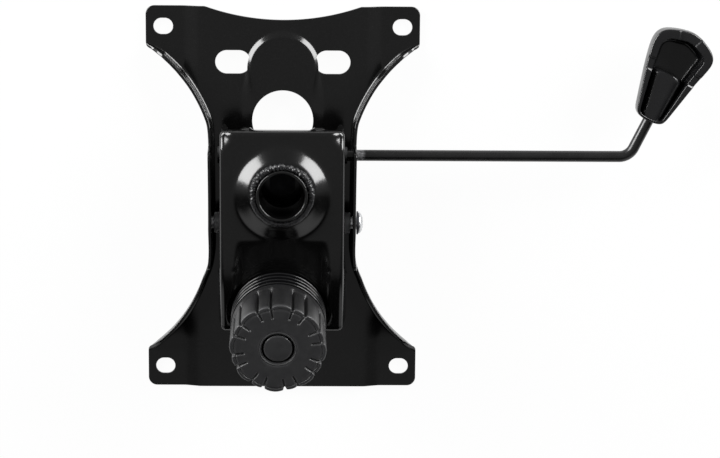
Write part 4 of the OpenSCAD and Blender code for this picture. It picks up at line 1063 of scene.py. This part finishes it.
def grip_parts():
    """Open shell: rings of the outline drawn in towards a spine by an inset, from the middle of
    the back, round its soft edge, up the wall, over the flat rim, which widens from neck to
    crown, and down into the hollow. The boss is a square bar with soft edges and a rounded end
    that widens along the arm."""
    outline = grip_outline()
    along = np.roll(outline, -1, 0) - np.roll(outline, 1, 0)
    outline = outline + 0.7 * unit(np.column_stack([-along[:, 1], along[:, 0]]))
    spine = np.column_stack([np.clip(outline[:, 0], 35, 67), np.full(len(outline), 1.4)])
    inward = spine - outline
    reach = np.linalg.norm(inward, axis=1)
    a = np.linspace(0, np.pi / 2, 7)
    # Each row: share of the rim's width, inset beyond that, height, and share of the recesses
    profile = [(0, BACK_ROUND * (1 - np.sin(t)), GRIP_FLOOR + BACK_ROUND * (1 - np.cos(t)), 0)
               for t in a]
    profile += [(0, -0.12, 21.0, 0), (0, -0.15, 24.0, 0), (0, 0.0, 26.6, 0)]
    profile += [(0, RIM_ROUND * (1 - np.cos(t)), GRIP_RIM - RIM_ROUND + RIM_ROUND * np.sin(t), 1)
                for t in a]
    profile += [(0.4, 0.6, GRIP_RIM + 0.03, 1), (0.8, 0.1, GRIP_RIM, 1)]
    profile += [(1, RIM_INNER * np.sin(t) - RIM_INNER,
                 GRIP_RIM - RIM_INNER + RIM_INNER * np.cos(t), 1) for t in a]
    profile += [(1, 0.2, 26.5, 0), (1, 0.4, 23.5, 0), (1, 0.7, 20.0, 0)]
    profile += [(1, 0.8 + HOLLOW_ROUND * (1 - np.cos(t)),
                 HOLLOW_FLOOR + HOLLOW_ROUND * (1 - np.sin(t)), 0) for t in a]
    along, left = outline.T
    width = np.interp(along, [27, 33, 45, 60, 80], [1.8, 2.3, 3.3, 4.6, 6.2])
    # Three recesses in the rim, 1 mm deep: on the left, on the right and at the crown
    dip = np.maximum(band(along, 54.7, 63.2, 1.2) * (left > 5),
                     band(along, 56.2, 65.0, 1.2) * (left < -5))
    dip = np.maximum(dip, band(left, -6.3, 10.0, 1.2) * (along > 76))
    body = np.stack([np.column_stack([
        outline + inward * np.minimum((share * width + inset) / reach, 1)[:, None],
        height - dip * sunk]) for share, inset, height, sunk in profile])
    t = np.linspace(0, 1, 6)[:-1, None, None]

    def disc(ring):
        """Rings from the spine out to a flat ring, without the last."""
        middle = np.column_stack([spine, np.full(len(ring), ring[0, 2])])
        return middle[None] * (1 - t) + ring[None] * t

    body = np.concatenate([disc(body[0]), body, disc(body[-1])[::-1]])
    # Boss, whose section is a circle squared up by a power of its sine and cosine
    s = np.linspace(BOSS_START, BOSS_END, 26)
    cap = np.linspace(0, np.pi / 2, 10)[1:]
    width = np.concatenate([[0], np.interp(s, [BOSS_START, BOSS_END], [BOSS_NARROW, BOSS_WIDE]),
                            BOSS_WIDE - 3.6 * (1 - np.cos(cap)), [0]])[:, None]
    s = np.concatenate([[BOSS_START - 0.2], s, BOSS_END + 3.0 * np.sin(cap),
                        [BOSS_END + 3.0]])[:, None]
    a = np.linspace(0, 2 * np.pi, 48, endpoint=False)[None]
    square = (np.abs(np.cos(a)) ** BOSS_POWER + np.abs(np.sin(a)) ** BOSS_POWER) \
        ** (-1 / BOSS_POWER)
    boss = np.stack([s + 0 * a, 0.09 * (s - 27) + width * square * np.cos(a),
                     ROD_Z + 0.95 * np.minimum(width, BOSS_HIGH) * square * np.sin(a)], -1)
    return [grid(on_arm(body), True), grid(on_arm(boss), True)]


class TILT_OT_lever(bpy.types.Operator):
    """Build the bent rod and the hollow grip of the release lever"""
    bl_idname = "tilt.lever"
    bl_label = "Release lever"

    def execute(self, context):
        colours = context.scene.tilt_finishes
        piece("lever_rod_bent", rod_parts(), worn_rod_and_painted_sheen(colours), "lever", ["lever_rod"],
              sharp=50)
        piece("lever_grip_moulded", grip_parts(), grip_plastic(colours), "lever",
              ["lever_grip"], sharp=50)
        return {"FINISHED"}


class TILT_OT_fittings(bpy.types.Operator):
    """Finish the fittings that keep their exact solids"""
    bl_idname = "tilt.fittings"
    bl_label = "Fittings"

    def execute(self, context):
        colours = context.scene.tilt_finishes
        finish_nodes(powder_coat(colours), "bolt_saddle")
        finish_nodes(zinc_plate(colours), "tension_bolt", "knob_nut", "drive_pin", "thrust_washer")
        finish_nodes(dark_steel("phosphated_steel", "#3a3b3e", "#57585c", 0.42, 0.6),
                     "axle_washer", "pivot_sleeve", "spring_seat")
        finish_nodes(dark_steel("blackened_steel", "#141415", "#1f1f21", 0.45, 0.6),
                     "release_tube", "release_tongue")
        finish_nodes(soft_plastic("rubber_black", colours.rubber, 0.18, 0.6), "bump_pads")
        finish_nodes(soft_plastic("nylon_black", colours.knob, 0.42, 0.7), "lever_bush_left",
                     "lever_bush_right")
        return {"FINISHED"}


# ---------------------------------------------------------------- stage
def seen_rays(tree):
    """1 for rays of the camera, of gloss and of transmission, and 0 for all others."""
    rays = add_node(tree, "ShaderNodeLightPath").outputs
    seen = add_node(tree, "ShaderNodeMath", {0: rays["Is Camera Ray"], 1: rays["Is Glossy Ray"]},
                    operation="ADD")
    return add_node(tree, "ShaderNodeMath", {0: seen.outputs[0], 1: rays["Is Transmission Ray"]},
                    operation="ADD", use_clamp=True).outputs[0]


def white_board():
    """Matt white board of the floor: almost all its own white to seen rays, and matt paint to
    all others."""
    paint = bpy.data.materials.new("matt_white_board")
    paint.use_nodes = True
    tree = paint.node_tree
    shader = tree.nodes["Principled BSDF"]
    shader.inputs["Base Color"].default_value = srgb("#f2f2f2")
    shader.inputs["Roughness"].default_value = 0.9
    share = add_node(tree, "ShaderNodeMath", {0: seen_rays(tree), 1: 0.96}, operation="MULTIPLY")
    white = add_node(tree, "ShaderNodeEmission", {"Color": srgb("#ffffff"), "Strength": 1.0})
    blend = add_node(tree, "ShaderNodeMixShader", {0: share.outputs[0], 1: shader.outputs[0],
                                                   2: white.outputs[0]})
    tree.links.new(blend.outputs[0], tree.nodes["Material Output"].inputs["Surface"])
    return paint


def white_room(part):
    """World whose horizon is white. Above that it is grey, a little paler to both sides, and
    black in front, where two dim windows stand. Rays that aren't seen get only a part of it."""
    world = bpy.data.worlds.new("white_room")
    world.use_nodes = True
    tree = world.node_tree
    tree.nodes.clear()
    soft = {"interpolation_type": "SMOOTHSTEP"}
    way = add_node(tree, "ShaderNodeTexCoord").outputs["Generated"]
    where = add_node(tree, "ShaderNodeSeparateXYZ", {"Vector": way}).outputs
    side = add_node(tree, "ShaderNodeMath", {0: where["X"]}, operation="ABSOLUTE").outputs[0]
    front = add_node(tree, "ShaderNodeMath", {0: side, 1: -0.25, 2: where["Y"]},
                     operation="MULTIPLY_ADD").outputs[0]
    grey = add_node(tree, "ShaderNodeMapRange", {"Value": side, "From Min": 0.2, "From Max": 0.6,
                                                 "To Min": 0.29, "To Max": 0.34}, **soft)
    behind = add_node(tree, "ShaderNodeMapRange", {"Value": front, "From Min": -0.52,
                                                   "From Max": -0.3}, **soft)
    ceiling = add_node(tree, "ShaderNodeMath", {0: grey.outputs["Result"],
                                                1: behind.outputs["Result"]},
                       operation="MULTIPLY").outputs[0]
    for spot in ROOM_WINDOWS:
        near = add_node(tree, "ShaderNodeVectorMath", {0: way, 1: spot}, operation="DOT_PRODUCT")
        glow = add_node(tree, "ShaderNodeMapRange",
                        {"Value": near.outputs["Value"], "From Min": 0.9, "From Max": 0.99,
                         "To Max": 0.8}, **soft)
        ceiling = add_node(tree, "ShaderNodeMath", {0: ceiling, 1: glow.outputs["Result"]},
                           operation="ADD").outputs[0]
    room = add_node(tree, "ShaderNodeMapRange", {"Value": where["Z"], "From Min": -0.02,
                                                 "From Max": 0.1, "To Min": 1.0,
                                                 "To Max": ceiling}, **soft)
    level = add_node(tree, "ShaderNodeMapRange", {"Value": seen_rays(tree), "To Min": part,
                                                  "To Max": 1.0})
    strength = add_node(tree, "ShaderNodeMath", {0: level.outputs["Result"],
                                                 1: room.outputs["Result"]}, operation="MULTIPLY")
    sky = add_node(tree, "ShaderNodeBackground", {"Color": srgb("#ffffff"),
                                                  "Strength": strength.outputs[0]})
    add_node(tree, "ShaderNodeOutputWorld", {"Surface": sky.outputs[0]})
    return world


class TILT_OT_stage(bpy.types.Operator):
    """Set the pale floor, the white room, two soft boxes and the camera"""
    bl_idname = "tilt.stage"
    bl_label = "Stage and camera"

    def execute(self, context):
        scene, light = context.scene, context.scene.tilt_light
        floor = bpy.data.objects.new("floor", shell("floor", [grid(np.array(
            [[[x, y, FLOOR_Z] for x in (-FLOOR_HALF, FLOOR_HALF)]
             for y in (-FLOOR_HALF, FLOOR_HALF)]))]))
        scene.collection.objects.link(floor)
        floor.data.materials.append(white_board())
        scene.world = white_room(light.room)
        for word, spot in BOX_PLACES.items():
            lamp = bpy.data.lights.new(f"soft_box_{word}", "AREA")
            lamp.shape, (lamp.size, lamp.size_y) = "RECTANGLE", BOX_SIZE
            lamp.energy = light.soft_boxes
            box = bpy.data.objects.new(f"soft_box_{word}", lamp)
            box.location = spot
            box.rotation_mode = "QUATERNION"
            box.rotation_quaternion = (Vector(BOX_AIM) - Vector(spot)).to_track_quat("-Z", "Y")
            scene.collection.objects.link(box)

        # The camera looks almost straight down on the knob's side
        tilt, pan, roll = np.radians(CAMERA_TURN)
        turn = (Matrix.Rotation(roll, 3, "Z") @ Matrix.Rotation(pan, 3, "Y")
                @ Matrix.Rotation(tilt, 3, "X"))
        camera = bpy.data.objects.new("camera", bpy.data.cameras.new("camera"))
        camera.data.lens, camera.data.sensor_width = LENS, SENSOR
        camera.data.sensor_fit = "HORIZONTAL"
        camera.data.clip_start, camera.data.clip_end = 0.1, 30.0
        back = turn.transposed()
        spot = back @ (Vector((0, 0, CAMERA_AWAY)) - Vector(CAMERA_AIM))
        camera.matrix_world = Matrix.Translation(spot) @ back.to_4x4()
        scene.collection.objects.link(camera)
        scene.camera = camera
        scene.view_settings.view_transform = "Standard"
        return {"FINISHED"}


# ---------------------------------------------------------------- panel and run
STEPS = (TILT_OT_stage, TILT_OT_seat_plate, TILT_OT_housing, TILT_OT_socket, TILT_OT_pivot,
         TILT_OT_spring, TILT_OT_knob, TILT_OT_lever, TILT_OT_fittings)


class TILT_PT_panel(bpy.types.Panel):
    """Buttons and settings of the tilt mechanism"""
    bl_idname = "TILT_PT_panel"
    bl_label = "Tilt Mechanism"
    bl_space_type = "VIEW_3D"
    bl_region_type = "UI"
    bl_category = "Tilt Mechanism"

    def draw(self, context):
        for group in (context.scene.tilt_sizes, context.scene.tilt_finishes,
                      context.scene.tilt_light):
            for key in group.bl_rna.properties.keys():
                if key not in ("rna_type", "name"):
                    self.layout.prop(group, key)
        for step in STEPS:
            self.layout.operator(step.bl_idname)


CLASSES = (TiltFinishes, TiltSizes, TiltLight, *STEPS, TILT_PT_panel)


def register():
    """Register the classes and hang the settings on the scene"""
    for cls in CLASSES:
        bpy.utils.register_class(cls)
    bpy.types.Scene.tilt_finishes = bpy.props.PointerProperty(type=TiltFinishes)
    bpy.types.Scene.tilt_sizes = bpy.props.PointerProperty(type=TiltSizes)
    bpy.types.Scene.tilt_light = bpy.props.PointerProperty(type=TiltLight)


def unregister():
    """Take the settings and classes away again"""
    del bpy.types.Scene.tilt_light, bpy.types.Scene.tilt_sizes, bpy.types.Scene.tilt_finishes
    for cls in reversed(CLASSES):
        bpy.utils.unregister_class(cls)


def main():
    """Register the classes and build everything in order"""
    register()
    for step in STEPS:
        group, word = step.bl_idname.split(".")
        getattr(getattr(bpy.ops, group), word)()


if __name__ == "__main__":
    main()
